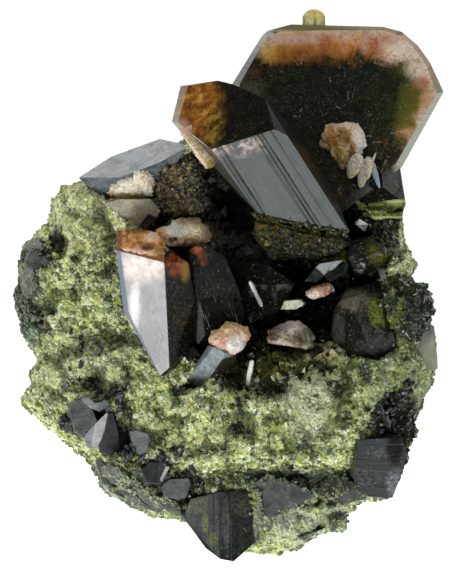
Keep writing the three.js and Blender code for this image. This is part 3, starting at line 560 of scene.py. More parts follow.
def front_height(settings, x, y, s):
    """Height of the rock's front, where s is 1 at the rim and 0 in the middle: a round shoulder inside
    the rim, a low step at the bottom, the hollow, the broad swellings, boulders and lumps"""
    inward = np.minimum((1 - s) / 0.34, 1)
    shoulder = np.sqrt(1 - (1 - inward) ** 2)
    low = settings.low_step * ease((-13.6 - y) / 2.2)
    height = settings.rim_height + (settings.ledge_height - low - settings.rim_height) * shoulder
    depth = 1 - np.hypot((x - HOLLOW.x) / HOLLOW.rx, (y - HOLLOW.y) / HOLLOW.ry)
    height = height + (settings.hollow_floor - settings.ledge_height) * ease(depth / 0.22) * shoulder
    for cx, cy, radius, rise in SWELLINGS:
        height = height + rise * np.exp(-((((x - cx) ** 2 + (y - cy) ** 2) / radius ** 2) ** 2))
    relief = (lumps(x, y, 3.6) - 0.6) * settings.boulder_rise + (lumps(x, y, 1.9) - 0.5) * settings.lump_rise
    return height + relief * np.minimum(1, inward * 3)


def darkness_and_shade(points):
    """How dark the rock is painted at each point, 0 to 1, for its own dark patches and as painted shade in
    the hollow and the pits: the strongest of the dark places, less the light ones, each fading out from its
    middle, with a ragged edge. Down the sides a noise of its own takes over."""
    x, y = points[..., 0], points[..., 1]
    ragged = 0.5 * (rough(points, 1.6, 4, 11) - 0.5)
    total = np.zeros(x.shape)
    for cx, cy, rx, ry, *amount in DARK_AND_SHADED_PLACES + LIGHT_PLACES:
        reach = np.hypot((x - cx) / rx, (y - cy) / ry) + ragged
        here = ease((1.15 - reach) / 0.4)
        total = np.maximum(total, amount[0] * here) if amount else total * (1 - 0.85 * here)
    side = ease((4.6 - points[..., 2]) / 2.2)
    patches = 0.85 * ease((rough(points, 3.4, 4, 17) - 0.49) / 0.1)
    return total * (1 - side) + patches * side


def sink_below(crystals, points, margin):
    """The rock's points, sunk where a crystal's top lies under them, and where that is: a point whose
    foot on the crystal's upper faces is inside its steep faces drops to the margin below them"""
    sunk = points.copy()
    covered = np.zeros(points.shape[:-1], bool)
    for normals, offsets in crystals:
        upper = normals[:, 2] > 0.5
        flat = points[..., :2] @ normals[:, :2].T
        top = ((offsets - flat)[..., upper] / normals[upper, 2]).min(axis=-1)
        foot = np.minimum(points[..., 2], top)
        steep = (flat + foot[..., None] * normals[:, 2] - offsets)[..., ~upper].max(axis=-1)
        inside = (steep < 0.05) & (sunk[..., 2] > top - margin) & (points[..., 2] < top + 2.2)
        covered |= (steep < -0.3) & (points[..., 2] > top - 1.5)
        sunk[..., 2] = np.where(inside, top - margin, sunk[..., 2])
    return sunk, covered


def rock_rings(settings, crystals, around=610, side_rows=36, front_rows=104, inner_rows=8):
    """The rock's skin as rings of points. Up the side, the outline widens from the back to the rim.
    Over the front, it draws in to the middle while the height follows front_height. Then every
    point moves in by the finest relief, and under crystals the rock sinks."""
    middle = np.array(ROCK_MIDDLE, float)
    reach = along_outline(ROCK_OUTLINE, around) - middle
    levels = np.linspace(0, 1, side_rows, endpoint=False)[:, None]
    side = np.empty((side_rows, around, 3))
    side[..., :2] = middle + reach * (1 - (1 - settings.back_inset) * (1 - levels) ** 1.6)[..., None]
    side[..., 2] = levels * settings.rim_height
    dents = 0.05 * rough(side, 2.6, 3, 2) * np.minimum(1, 6 * levels)
    side[..., :2] = middle + (side[..., :2] - middle) * (1 - dents)[..., None]
    shares = np.concatenate([np.linspace(1, 0.3, front_rows, endpoint=False),
                             np.linspace(0.3, 0.03, inner_rows)])[:, None]
    front = np.empty((len(shares), around, 3))
    front[..., :2] = middle + reach * shares[..., None]
    front[..., 2] = front_height(settings, front[..., 0], front[..., 1], shares)
    rings = np.vstack([side, front])
    crumbs = rough(rings, 0.9, 3, 4) + 0.5 * ease((cloud(rings, 1.3, 9) - 0.62) / 0.2)
    calm = np.exp(-np.hypot((rings[..., 0] - 6.6) / 2.4, (rings[..., 1] + 9.2) / 3.2) ** 4)
    lump = lumps(rings[..., 0] + 0.5 * rings[..., 2], rings[..., 1], 1.3)
    crumbs = crumbs + 0.7 * (1 - lump) * (1 - 0.9 * calm) + 0.4 * calm
    free = np.minimum(1, rings[..., 2:] / 0.8)
    rings = rings - ring_normals(rings) * (settings.crumb_rise * crumbs[..., None] - 0.1) * free
    return sink_below(crystals, rings, 0.4)


def creases(rings):
    """How far each point lies in a crease: its depth below a height smoothed over its neighbours"""
    smooth = rings[..., 2]
    for _ in range(6):
        smooth = (smooth + np.roll(smooth, 3, axis=1) + np.roll(smooth, -3, axis=1)
                  + np.roll(smooth, 3, axis=0) + np.roll(smooth, -3, axis=0)) / 5
    return ease((smooth - rings[..., 2]) / 0.5 + 0.5)


# Grains and small prisms

def pick_on(rings, count, seed, weight, tones_and_shading):
    """Places on a skin: quads drawn by chance in the measure of their area times weight, a point on
    each, and the normal and the tone there, with any painted shading that the tone holds"""
    dice = np.random.default_rng(seed)
    corner = rings[:-1]
    round_step = np.roll(rings, -1, axis=1)[:-1] - corner
    up_step = rings[1:] - corner
    twist = np.roll(up_step, -1, axis=1) - up_step
    square = np.cross(round_step, up_step)
    area = np.linalg.norm(square, axis=-1) * weight[:-1]
    here = np.unravel_index(dice.choice(area.size, count, p=(area / area.sum()).ravel()), area.shape)
    shift = dice.random((2, count, 1))
    onwards = up_step[here] + shift[0] * twist[here]
    places = corner[here] + shift[0] * round_step[here] + shift[1] * onwards
    return places, unit(square[here]), tones_and_shading[here], dice


def turns(dice, count):
    """Even random turns: matrices of unit quaternions"""
    spin = dice.normal(size=(4, count))
    w, x, y, z = spin / np.linalg.norm(spin, axis=0)
    rows = [[1 - 2 * (y * y + z * z), 2 * (x * y - w * z), 2 * (x * z + w * y)],
            [2 * (x * y + w * z), 1 - 2 * (x * x + z * z), 2 * (y * z - w * x)],
            [2 * (x * z - w * y), 2 * (y * z + w * x), 1 - 2 * (x * x + y * y)]]
    return np.moveaxis(np.array(rows), -1, 0)


BLOCK = np.array(list(product((-0.5, 0.5), repeat=3)))
BLOCK_TRIANGLES = np.array([
    (0, 1, 3), (0, 3, 2), (4, 6, 7), (4, 7, 5), (0, 4, 5), (0, 5, 1),
    (2, 3, 7), (2, 7, 6), (0, 2, 6), (0, 6, 4), (1, 5, 7), (1, 7, 3),
])


def put_many(name, places, axes, local, triangles, luck, tones_and_shading):
    """Many small closed shapes in one mesh: the same triangles for each, and its own corners, turned and
    moved to its place. Their points hold the shape's luck, and its tone with any painted shading."""
    count, corners = local.shape[:2]
    points = places[:, None, :] + np.einsum("nij,nkj->nki", axes, local)
    points[..., 2] = np.maximum(points[..., 2], 0)
    faces = (corners * np.arange(count))[:, None, None] + triangles
    return put_mesh(name, points.reshape(-1, 3), triangles=faces.reshape(-1, 3),
                    values={"tone": np.repeat(tones_and_shading, corners), "luck": np.repeat(luck, corners)})


def put_grains(name, places, sizes, dice, tones_and_shading, slimness=1.3):
    """Many small blocks in one mesh: each has its corners shifted a little, is turned by chance, and
    is slimmer in two directions than in the third. None reaches below the flat back."""
    count = len(places)
    shifted = BLOCK + 0.16 * (dice.random((count, 8, 3)) - 0.5) * 2
    stretch = np.stack([np.ones(count), 0.7 + 0.5 * dice.random(count),
                        slimness * (0.8 + 0.5 * dice.random(count))], axis=-1)
    local = shifted * (sizes[:, None] * stretch)[:, None, :]
    axes = turns(dice, count)
    return put_many(name, places, axes, local, BLOCK_TRIANGLES, dice.random(count), tones_and_shading)


def put_splinters(name, places, ways, lengths, widths, dice):
    """Many small six-sided prisms with a sloped point, in one mesh, each standing on its place and
    leaning its own way"""
    count = len(places)
    turn = np.arange(6) * np.pi / 3
    ring = np.stack([np.cos(turn), np.sin(turn), np.zeros(6)], axis=-1) / 2
    prism = np.vstack([ring, ring + (0, 0, 0.8), ring * 0.45 + (0.12, 0, 1.0)])
    local = np.broadcast_to(prism, (count, 18, 3)).copy()
    local[:, 6:12, 2] -= 0.25 * dice.random((count, 6))
    local[..., 0] *= widths[:, None]
    local[..., 1] *= widths[:, None] * (0.5 + 0.4 * dice.random((count, 1)))
    local[..., 2] = (local[..., 2] - 0.25) * lengths[:, None]
    onwards = unit(ways)
    across = unit(np.cross(onwards, turns(dice, count)[:, 0]))
    axes = np.stack([across, np.cross(onwards, across), onwards], axis=-1)
    i = np.arange(6)
    beside = (i + 1) % 6
    faces = [np.stack([a + i, a + beside, b + beside], axis=-1) for a, b in ((0, 6), (6, 12))]
    faces += [np.stack([a + i, b + beside, b + i], axis=-1) for a, b in ((0, 6), (6, 12))]
    faces.append([(0, k + 1, k) for k in range(1, 5)])
    faces.append([(12, 12 + k, 13 + k) for k in range(1, 5)])
    return put_many(name, places, axes, local, np.vstack(faces), dice.random(count), np.zeros(count))


# Rounded ends, blades, rods and stubs

def knobbed(knobs, facets=0, cut=0.08, dents=(), grid=(88, 150), wrinkle=0.1, wrinkle_size=0.8, seed=0):
    """A crystal end grown from several ellipsoids: in each direction from the first one's middle, the
    radius is the smooth maximum of the distances at which the ray leaves them. Flat faces cut the
    furthest parts off, dents draw it in, and a noise wrinkles it. The poles lie on Z."""
    dice = np.random.default_rng(seed)
    centre = np.array(knobs[0][0], float)
    rows, around = grid
    fall = np.linspace(0, np.pi, rows + 2)[1:-1, None]
    turn = np.linspace(0, 2 * np.pi, around, endpoint=False)[None, :]
    ways = np.stack([np.sin(fall) * np.cos(turn), np.sin(fall) * np.sin(turn),
                     np.cos(fall) * np.ones_like(turn)], axis=-1)
    total = np.zeros(grid)
    for middle, radii in knobs:
        offset, ray = (np.array(middle) - centre) / radii, ways / radii
        a, b, c = (ray ** 2).sum(axis=-1), ray @ offset, offset @ offset - 1
        inside = b * b - a * c
        exit_at = np.where(inside > 0, (b + np.sqrt(np.maximum(inside, 0))) / a, 0)
        total = total + np.exp(9 * exit_at) * (exit_at > 0)
    radius = np.log(np.maximum(total, 1.001)) / 9
    for normal in dice.normal(size=(facets, 3)) * (1, 1, 0.8):
        toward = ways @ unit(normal)
        limit = (radius * toward).max() - cut * (0.5 + dice.random())
        radius = np.where(toward > 0.05, np.minimum(radius, limit / np.maximum(toward, 0.05)), radius)
    for direction, depth, width in dents:
        radius = radius - depth * np.exp(-((1 - ways @ way(direction)) / width) ** 2)
    points = ways * radius[..., None]
    crease = np.abs(rough(points + centre, wrinkle_size, 4, seed) - 0.5) * 2
    return points * (1 - wrinkle * (1 - crease[..., None]) * 2) + centre


def blade(foot, tip, width, thickness, facing, bend=0.0, rows=24, around=20):
    """A pointed blade from foot to tip: a lens-shaped section whose width grows and shrinks as the
    square root of a sine along it, and whose spine bends out by a sine"""
    foot, tip = np.array(foot, float), np.array(tip, float)
    onwards = unit(tip - foot)
    across = unit(np.cross(onwards, facing))
    out = np.cross(across, onwards)
    t = np.linspace(0.02, 0.99, rows)[:, None]
    turn = np.linspace(0, 2 * np.pi, around, endpoint=False)[:, None]
    grow = np.sqrt(np.sin(np.pi * t ** 0.8))[..., None]
    spine = foot + (tip - foot) * t + bend * np.sin(np.pi * t) * out
    ridge = np.sign(np.sin(turn)) * np.abs(np.sin(turn)) ** 1.3
    return spine[:, None, :] + grow * (np.cos(turn) * across * width + ridge * out * thickness) / 2


def sweep(path, width, thickness, rows=60, around=16, square=0.7, wander=0.0, seed=0):
    """A rod along a path of points: its section is a rounded rectangle, the width and thickness draw in
    over the last share of each end, and its points move by a noise"""
    path = np.array(path, float)
    reach = np.append(0, np.cumsum(np.linalg.norm(np.diff(path, axis=0), axis=1)))
    t = np.linspace(0, 1, rows)
    spine = np.stack([np.interp(t * reach[-1], reach, path[:, i]) for i in range(3)], axis=-1)
    for _ in range(3):
        spine[1:-1] = (spine[:-2] + 2 * spine[1:-1] + spine[2:]) / 4
    onwards = unit(np.gradient(spine, axis=0))
    across = unit(np.cross(onwards, (0.0, 0.1, 1.0)))
    out = np.cross(across, onwards)
    turn = np.linspace(0, 2 * np.pi, around, endpoint=False)
    c, s = (np.sign(part) * np.abs(part) ** square for part in (np.cos(turn), np.sin(turn)))
    grow = np.sqrt(np.clip(np.minimum(t, 1 - t) / 0.06, 0.05, 1))[:, None, None]
    section = (c[:, None] * across[:, None] * width + s[:, None] * out[:, None] * thickness) / 2
    points = spine[:, None, :] + grow * section
    return points + wander * (rough(points, 0.5, 3, seed)[..., None] - 0.5) * section / width * 2


def facet_rings(settings):
    """The stub crystals under the flat faces: for each its node, and its three rings with their tone, which
    holds painted light and shade, and their place across its first edge. The rings are a wider foot, the
    lower edge of a narrow bevel, and the face itself. A face of the rock lies along it, and corners past its
    edge are drawn in."""
    stubs = []
    for node, (lift, slope_x, slope_y, tone, corners) in (
            (node, face) for node, faces in FACETS.items() for face in faces):
        flat = np.array(corners)
        flat = ROCK_MIDDLE + (flat - ROCK_MIDDLE) * np.minimum(1, 0.97 / rim_share(flat))[:, None]
        away = flat - flat.mean(axis=0)
        if node:
            height = np.full(len(flat), top_of(node, *flat.mean(axis=0)))
        else:
            ground = front_height(settings, *flat.T, rim_share(flat))
            fit = np.linalg.lstsq(np.column_stack([away, np.ones(len(flat))]), ground, rcond=None)[0]
            height = away @ fit[:2] + fit[2]
        height = height + lift + away @ (slope_x, slope_y)
        rings = np.stack([np.column_stack([flat + wide * unit(away), height - drop])
                          for wide, drop in ((0.14, 1.6), (0.06, 0.08), (0.0, 0.0))])
        edge = rings[-1, 1, :2] - rings[-1, 0, :2]
        across = rings[..., :2] @ (-edge[1], edge[0]) / np.hypot(*edge)
        stubs.append((node, rings, {"tone": np.full(across.shape, tone), "across": across}))
    return stubs


# Materials

class Nodes:
    """A node tree with short calls for the nodes that the finishes use. An input takes a plain value or
    the output of another node."""

    def __init__(self, tree):
        self.tree = tree

    def feed(self, socket, value):
        """Links an output to an input, or sets the input's value"""
        if isinstance(value, bpy.types.NodeSocket):
            self.tree.links.new(value, socket)
        else:
            socket.default_value = value

    def add(self, kind, **given):
        """A new node. Each given value goes to its property or its input of that name."""
        node = self.tree.nodes.new("ShaderNode" + kind)
        for name, value in given.items():
            if hasattr(node, name):
                setattr(node, name, value)
            else:
                self.feed(node.inputs[name.replace("_", " ")], value)
        return node

    def fill(self, node, *values):
        for socket, value in zip(node.inputs, values):
            self.feed(socket, value)
        return node

    def math(self, operation, a, b=0.0, clamp=False):
        return self.fill(self.add("Math", operation=operation, use_clamp=clamp), a, b).outputs[0]

    def times(self, first, *others):
        for other in others:
            first = self.math("MULTIPLY", first, other)
        return first

    def sway(self, value, *parts):
        """A value that noises push up and down: each adds its share of its distance from one half"""
        for part, share in parts:
            value = self.math("ADD", value, self.times(self.math("SUBTRACT", part, 0.5), share))
        return value

    def vector(self, operation, a, b=(0, 0, 0)):
        node = self.fill(self.add("VectorMath", operation=operation), a, b)
        return node.outputs["Value" if operation in ("DOT_PRODUCT", "LENGTH") else "Vector"]

    def joined(self, x, y=0.0, z=0.0):
        return self.fill(self.add("CombineXYZ"), x, y, z).outputs[0]

    def noise(self, vector, size, detail=3.0, roughness=0.55):
        return self.add("TexNoise", Vector=vector, Scale=1 / size, Detail=detail,
                        Roughness=roughness).outputs["Fac"]

    def span(self, value, low, high, to_low=0.0, to_high=1.0):
        """A smooth step from one value to another between low and high"""
        node = self.add("MapRange", interpolation_type="SMOOTHSTEP")
        return self.fill(node, value, low, high, to_low, to_high).outputs[0]

    def mix(self, share, a, b, blend="MIX"):
        node = self.add("Mix", data_type="RGBA", blend_type=blend)
        self.feed(node.inputs[0], share)
        for socket, item in ((node.inputs[6], a), (node.inputs[7], b)):
            self.feed(socket, item if isinstance(item, bpy.types.NodeSocket) else (*item, 1.0))
        return node.outputs[2]

    def ramp(self, value, stops):
        node = self.fill(self.add("ValToRGB"), value)
        elements = node.color_ramp.elements
        while len(elements) < len(stops):
            elements.new(1.0)
        for element, (place, shade) in zip(elements, stops):
            element.position = place
            element.color = (*shade, 1.0)
        return node.outputs[0]

    def attribute(self, name):
        return self.add("Attribute", attribute_name=name).outputs["Fac"]


def new_group(name, output, **inputs):
    """An empty shader group with its sockets, and the calls to fill it. A socket whose value has three
    numbers is a vector."""
    tree = bpy.data.node_groups.new(name, "ShaderNodeTree")
    for label, value in inputs.items():
        kind = "NodeSocketVector" if isinstance(value, tuple) else "NodeSocketFloat"
        tree.interface.new_socket(label, in_out="INPUT", socket_type=kind).default_value = value
    tree.interface.new_socket(output, in_out="OUTPUT", socket_type="NodeSocketFloat")
    source = tree.nodes.new("NodeGroupInput")
    target = tree.nodes.new("NodeGroupOutput")
    return Nodes(tree), source.outputs, target.inputs[0]


def build_soft_patch(name):
    """A soft patch: 1 within an ellipsoid and 0 outside, with an edge made ragged by two noises"""
    nodes, given, result = new_group(name, "Mask", Vector=(0, 0, 0), Middle=(0, 0, 0), Radii=(1, 1, 1),
                                     Softness=0.5, Raggedness=0.4)
    away = nodes.vector("SUBTRACT", given["Vector"], given["Middle"])
    reach = nodes.vector("LENGTH", nodes.vector("DIVIDE", away, given["Radii"]))
    ragged = nodes.sway(0.0, (nodes.noise(given["Vector"], 1.1), 1.0),
                        (nodes.noise(given["Vector"], 0.24, 4.0, 0.7), 1.2))
    reach = nodes.math("ADD", reach, nodes.times(ragged, given["Raggedness"]))
    low, high = (nodes.math(sign, 1.0, given["Softness"]) for sign in ("SUBTRACT", "ADD"))
    nodes.feed(result, nodes.math("SUBTRACT", 1.0, nodes.span(reach, low, high)))


def build_streaks(name):
    """Fine streaks along a crystal: a noise of the distance across it, that changes slowly along it"""
    nodes, given, result = new_group(name, "Streak", Vector=(0, 0, 0), Across=(1, 0, 0),
                                     Along=(0, 1, 0), Width=0.1)
    across, along = (nodes.vector("DOT_PRODUCT", given["Vector"], given[way_on])
                     for way_on in ("Across", "Along"))
    place = nodes.joined(nodes.math("DIVIDE", across, given["Width"]),
                         nodes.math("DIVIDE", along, nodes.times(given["Width"], 30.0)))
    nodes.feed(result, nodes.noise(place, 1.0, 3.0, 0.7))


def build_specks_and_glints(name):
    """Small bright specks that stand partly for painted glints: cells whose own number is low, near their
    middles
    """
    nodes, given, result = new_group(name, "Specks", Vector=(0, 0, 0), Size=0.2, Share=0.15)
    scaled = nodes.vector("DIVIDE", given["Vector"], nodes.joined(*3 * [given["Size"]]))
    cells = nodes.add("TexVoronoi", Vector=scaled, Scale=1.0)
    own = nodes.vector("DOT_PRODUCT", cells.outputs["Color"], (1.0, 0.0, 0.0))
    near = nodes.span(cells.outputs["Distance"], 0.25, 0.5, 1.0, 0.0)
    nodes.feed(result, nodes.times(nodes.math("LESS_THAN", own, given["Share"]), near))


EFFECTS = {"soft_patch": build_soft_patch, "streaks": build_streaks, "specks": build_specks_and_glints}


class Finish(Nodes):
    """A material with a Principled shader, object coordinates in mm and the shared effects"""

    def __init__(self, name, roughness=0.3, ior=1.72, **given):
        self.material = bpy.data.materials.new(name)
        self.material.use_nodes = True
        super().__init__(self.material.node_tree)
        self.shader = self.tree.nodes["Principled BSDF"]
        self.set(Roughness=roughness, IOR=ior, **{"Specular_IOR_Level": 0.3, **given})
        self.mm = self.vector("MULTIPLY", self.add("TexCoord").outputs["Object"], (1 / MM,) * 3)

    def set(self, **given):
        """Feeds the shader's inputs"""
        for label, value in given.items():
            self.feed(self.shader.inputs[label.replace("_", " ")], value)

    def cloudy(self, size, detail=3.0, roughness=0.55):
        """A noise of the place in mm"""
        return self.noise(self.mm, size, detail, roughness)

    def effect(self, name, **inputs):
        """A shared effect, whose group is built once"""
        if name not in bpy.data.node_groups:
            EFFECTS[name](name)
        node = self.add("Group", node_tree=bpy.data.node_groups[name])
        for label, value in {"Vector": self.mm, **inputs}.items():
            self.feed(node.inputs[label], value)
        return node.outputs[0]

    def patch(self, x, y, rx, ry, softness=0.4, raggedness=0.5):
        return self.effect("soft_patch", Middle=(x, y, 10.0), Radii=(rx, ry, 60.0),
                           Softness=softness, Raggedness=raggedness)

    def patches(self, base, rows, *edge, within=None):
        """A base with tinted patches. A row holds x, y, radius along x, radius along y and colour, and
        can end with its own softness and raggedness. A mask given as within thins all of them."""
        for x, y, rx, ry, tint, *own in rows:
            mask = self.patch(x, y, rx, ry, *(own or edge))
            base = self.mix(self.times(mask, within) if within else mask, base, tint)
        return base

    def streaks(self, along, across, width):
        return self.effect("streaks", Across=tuple(across), Along=tuple(along), Width=width)

    def specks(self, base, size, share, amount, tint):
        mask = self.effect("specks", Size=size, Share=share)
        return self.mix(self.times(mask, amount), base, tint)

    def faces(self, direction, low, high):
        """1 on the faces that look in a direction"""
        normal = self.add("NewGeometry").outputs["Normal"]
        return self.span(self.vector("DOT_PRODUCT", normal, tuple(way(direction))), low, high)

    def done(self, base, roughness=None, height=None, strength=0.4, distance=0.05):
        """Feeds the shader its colour, its roughness and its relief, and returns the material"""
        self.set(Base_Color=base)
        if roughness:
            self.set(Roughness=roughness)
        if height:
            bump = self.add("Bump", Strength=strength, Distance=distance * MM, Height=height)
            self.set(Normal=bump.outputs["Normal"])
        return self.material


def beside(along, facing=(0, 0, 1)):
    """The way across a run along a face"""
    return Vector(along).cross(Vector(facing).normalized()).normalized()


def dimmed(shade, share):
    return tuple(share * part for part in shade)


def rock_finish(settings):
    """Granular rock between the grains: dark green to yellow green, with painted shade that darkens the
    creases, and black in the dark places, which hold painted shade in the hollow and the pits as well as
    dark rock
    """
    look = Finish("granular_rock", 0.6, 1.5)
    fleck, patch = look.cloudy(0.2, 4.0, 0.75), look.cloudy(1.8)
    light = look.mix(look.span(patch, 0.3, 0.6), settings.moss, settings.leaf)
    light = look.mix(look.span(fleck, 0.52, 0.66), light, settings.cream)
    light = look.mix(look.span(fleck, 0.48, 0.36), light, settings.moss)
    # Painted shade: the creases turn dark green
    light = look.mix(look.times(look.attribute("crease"), 0.7), light, (0.05, 0.07, 0.03))
    black = look.mix(look.span(fleck, 0.5, 0.75), (0.006, 0.007, 0.005), (0.05, 0.06, 0.02))
    # Black where the rock is dark, and as painted shade in the hollow and the pits
    base = look.mix(look.attribute("dark"), light, black)
    return look.done(base, None, look.cloudy(0.12, 4.0, 0.7), 0.6, 0.08)


# Tinted parts of the grains: x, y, radius along x, radius along y, strength and colour
GRAIN_TINTS = [
    (-11.8, 6.4, 4.8, 2.8, 0.45, (0.9, 0.92, 0.56)), (-12.4, -6.2, 3.4, 2.8, 0.35, (0.7, 0.74, 0.5)),
    (6.6, -9.4, 1.9, 2.7, 0.6, (0.56, 0.56, 0.44)), (14.0, -8.0, 3.4, 4.6, 0.4, (0.1, 0.17, 0.1)),
    (-16.8, -0.8, 1.9, 5.4, 0.75, (0.08, 0.13, 0.1)), (-9.4, -16.6, 5.0, 1.8, 0.5, (0.46, 0.56, 0.44)),
    (6.0, -15.9, 5.4, 1.2, 0.6, (0.19, 0.24, 0.22)), (6.6, -19.0, 4.6, 1.7, 0.5, (0.42, 0.5, 0.42)),
]


def grain_finish(name, low, high, roughness, dark):
    """Grains between two colours, picked by their own luck and by patches of two sizes, darker by their tone
    in the dark places and by painted shade in the creases, with small white flecks that stand partly for
    painted glints"""
    look = Finish(name, roughness, 1.6)
    fleck = look.cloudy(0.13, 4.0, 0.7)
    own = look.sway(0.5, (look.attribute("luck"), 0.55), (look.cloudy(0.8, 3.0, 0.6), 1.7),
                    (look.cloudy(2.6), 1.3), (fleck, 0.5))
    plain = look.mix(look.span(own, 0.0, 1.0), low, high)
    hue = look.cloudy(0.55, 4.0, 0.65)
    plain = look.mix(look.span(hue, 0.54, 0.66, 0.0, 0.5), plain, (0.62, 0.56, 0.09))
    plain = look.mix(look.span(hue, 0.46, 0.36, 0.0, 0.45), plain, (0.2, 0.27, 0.22))
    for x, y, rx, ry, share, tint in GRAIN_TINTS:
        plain = look.mix(look.times(look.patch(x, y, rx, ry), share), plain, tint)
    # Small white flecks, partly painted glints
    plain = look.mix(look.span(fleck, 0.62, 0.7), plain, (0.8, 0.82, 0.7))
    # The tone darkens the grain; on the rock's grains it holds painted shade in the creases
    base = look.mix(look.times(look.attribute("tone"), 0.88), plain, dark)
    return look.done(base, look.span(fleck, 0.3, 0.7, roughness - 0.08, roughness + 0.15))


def facet_finish(name, moss, tint=(1, 1, 1)):
    """Smooth small faces from black through dark green grey to pale lilac, by a tone that is partly painted
    light and shade, with fine lines across and yellow green patches that the rock leaves on them"""
    look = Finish(name, Specular_IOR_Level=0.14)
    streak = look.noise(look.joined(look.math("DIVIDE", look.attribute("across"), 0.09)), 1.0, 3.0, 0.7)
    fleck, patch = look.cloudy(0.22, 5.0, 0.7), look.cloudy(0.9, 4.0)
    own = look.sway(look.attribute("tone"), (streak, 0.5), (fleck, 0.4), (patch, 0.6))
    base = look.ramp(own, [
        (0.0, (0.008, 0.01, 0.009)), (0.25, (0.038, 0.05, 0.046)), (0.5, (0.14, 0.165, 0.16)),
        (0.75, (0.37, 0.38, 0.385)), (1.0, (0.7, 0.68, 0.72))])
    base = look.mix(1.0, base, tint, "MULTIPLY")
    growth = look.span(look.cloudy(0.5, 5.0, 0.75), 0.6 - 0.1 * moss, 0.68 - 0.08 * moss)
    green = look.mix(look.span(fleck, 0.4, 0.6), (0.1, 0.13, 0.03), (0.42, 0.46, 0.2))
    base = look.mix(look.times(growth, 0.3 + 0.5 * moss), base, green)
    roughness = look.span(fleck, 0.35, 0.7, 0.2, 0.42)
    return look.done(base, roughness, look.math("ADD", streak, fleck), 0.4, 0.06)


def dark_finish(name, settings, along, tints=(), roughness=0.13, slate=0.0, streaks=0.35, gloss=0.3,
                lines=False):
    """Glossy dark crystal: near black, mottled olive, with streaks along it, fine pale lines that are
    painted highlights if it has them, small specks that stand partly for painted glints, and tinted patches"""
    look = Finish(name, roughness, Specular_IOR_Level=gloss)
    along = Vector(along).normalized()
    streak = look.streaks(along, beside(along), 0.12)
    fleck, patch = look.cloudy(0.26, 5.0, 0.7), look.cloudy(1.3, 4.0)
    base = look.ramp(look.span(fleck, 0.36, 0.74), [
        (0.0, (0.004, 0.004, 0.003)), (0.45, settings.night), (0.72, (0.032, 0.031, 0.014)),
        (1.0, (0.11, 0.1, 0.05))])
    base = look.mix(look.span(patch, 0.45, 0.62), base, (0.007, 0.007, 0.005))
    if slate:
        base = look.mix(slate, base, settings.slate)
        base = look.mix(look.times(look.span(streak, 0.5, 0.66), slate), base, (0.01, 0.012, 0.01))
    mottle = look.span(fleck, 0.38, 0.62)
    base = look.patches(base, [(*place, look.mix(mottle, dimmed(tint, 0.3), tint))
                               for *place, tint in tints])
    if lines:
        # Painted highlights: thin pale lines along the streaks
        base = look.mix(look.span(streak, 0.62, 0.7), base, (0.3, 0.3, 0.26))
    base = look.specks(base, 0.15, 0.03, 0.4, (0.42, 0.44, 0.3))
    relief = look.math("ADD", look.times(streak, streaks), fleck)
    return look.done(base, look.span(patch, 0.35, 0.7, roughness - 0.05, roughness + 0.14), relief, 0.2)


def slate_finish(name, settings, along, shade, roughness, tints=()):
    """Satin grey crystal faces, painted pale where they look up, as lit, and near black elsewhere, with fine
    streaks, scratches and specks, the specks partly painted glints"""
    look = Finish(name, roughness)
    along = Vector(along).normalized()
    streak = look.streaks(along, beside(along), 0.1)
    fleck, patch = look.cloudy(0.24, 4.0, 0.7), look.cloudy(1.1, 4.0)
    pale = dimmed(settings.slate, shade)
    dim = dimmed(pale, 0.4)
    base = look.mix(look.span(patch, 0.32, 0.64), dim, pale)
    base = look.mix(look.times(look.span(streak, 0.45, 0.62), 0.6), base, dim)
    base = look.mix(look.span(fleck, 0.56, 0.36), base, dim)
    base = look.specks(base, 0.16, 0.06, 0.3, (0.5, 0.52, 0.46))
    # Painted light: faces that look up keep the pale grey, the others turn near black
    base = look.mix(look.faces((0, 0, 1), 0.45, 0.725), settings.night, base)
    base = look.patches(base, tints)
    relief = look.math("ADD", streak, look.times(fleck, 0.7))
    return look.done(base, look.span(patch, 0.35, 0.7, roughness - 0.08, roughness + 0.12), relief, 0.3)


# Patches on the tabular crystal's face, and on its bevels. On the face, the gold patch at 3.2, 19.2 is a
# painted glint; on the bevels, the pale grey patches on the left and the lower right are painted sheen.
PLATE_TINTS = [
    (13.9, 19.3, 1.6, 0.9, (0.92, 0.82, 0.7)), (12.6, 20.2, 1.2, 0.5, (0.6, 0.34, 0.24)),
    (15.4, 18.0, 0.9, 1.1, (0.84, 0.7, 0.56)), (15.7, 16.6, 0.7, 0.5, (0.5, 0.2, 0.13)),
    (11.9, 19.8, 0.45, 0.5, (0.46, 0.13, 0.07)), (11.1, 19.9, 0.3, 0.7, (0.7, 0.42, 0.34)),
    (3.2, 19.2, 0.7, 0.8, (0.8, 0.52, 0.08)), (5.6, 20.1, 1.8, 0.35, (0.8, 0.56, 0.46)),
    (8.0, 19.7, 0.4, 0.7, (0.46, 0.12, 0.05)), (14.6, 15.2, 0.7, 1.6, (0.1, 0.1, 0.016)),
    (16.2, 14.9, 0.5, 1.2, (0.6, 0.36, 0.22)), (1.6, 14.6, 1.4, 2.2, (0.14, 0.13, 0.1)),
]
BEVEL_TINTS_AND_SHEEN = [
    (1.8, 18.6, 2.4, 3.6, (0.5, 0.52, 0.5)), (9.0, 21.6, 6.2, 1.4, (0.16, 0.17, 0.04)),
    (16.0, 13.2, 3.2, 5.4, (0.34, 0.38, 0.29)), (15.9, 18.9, 2.4, 2.4, (0.46, 0.33, 0.24)),
]


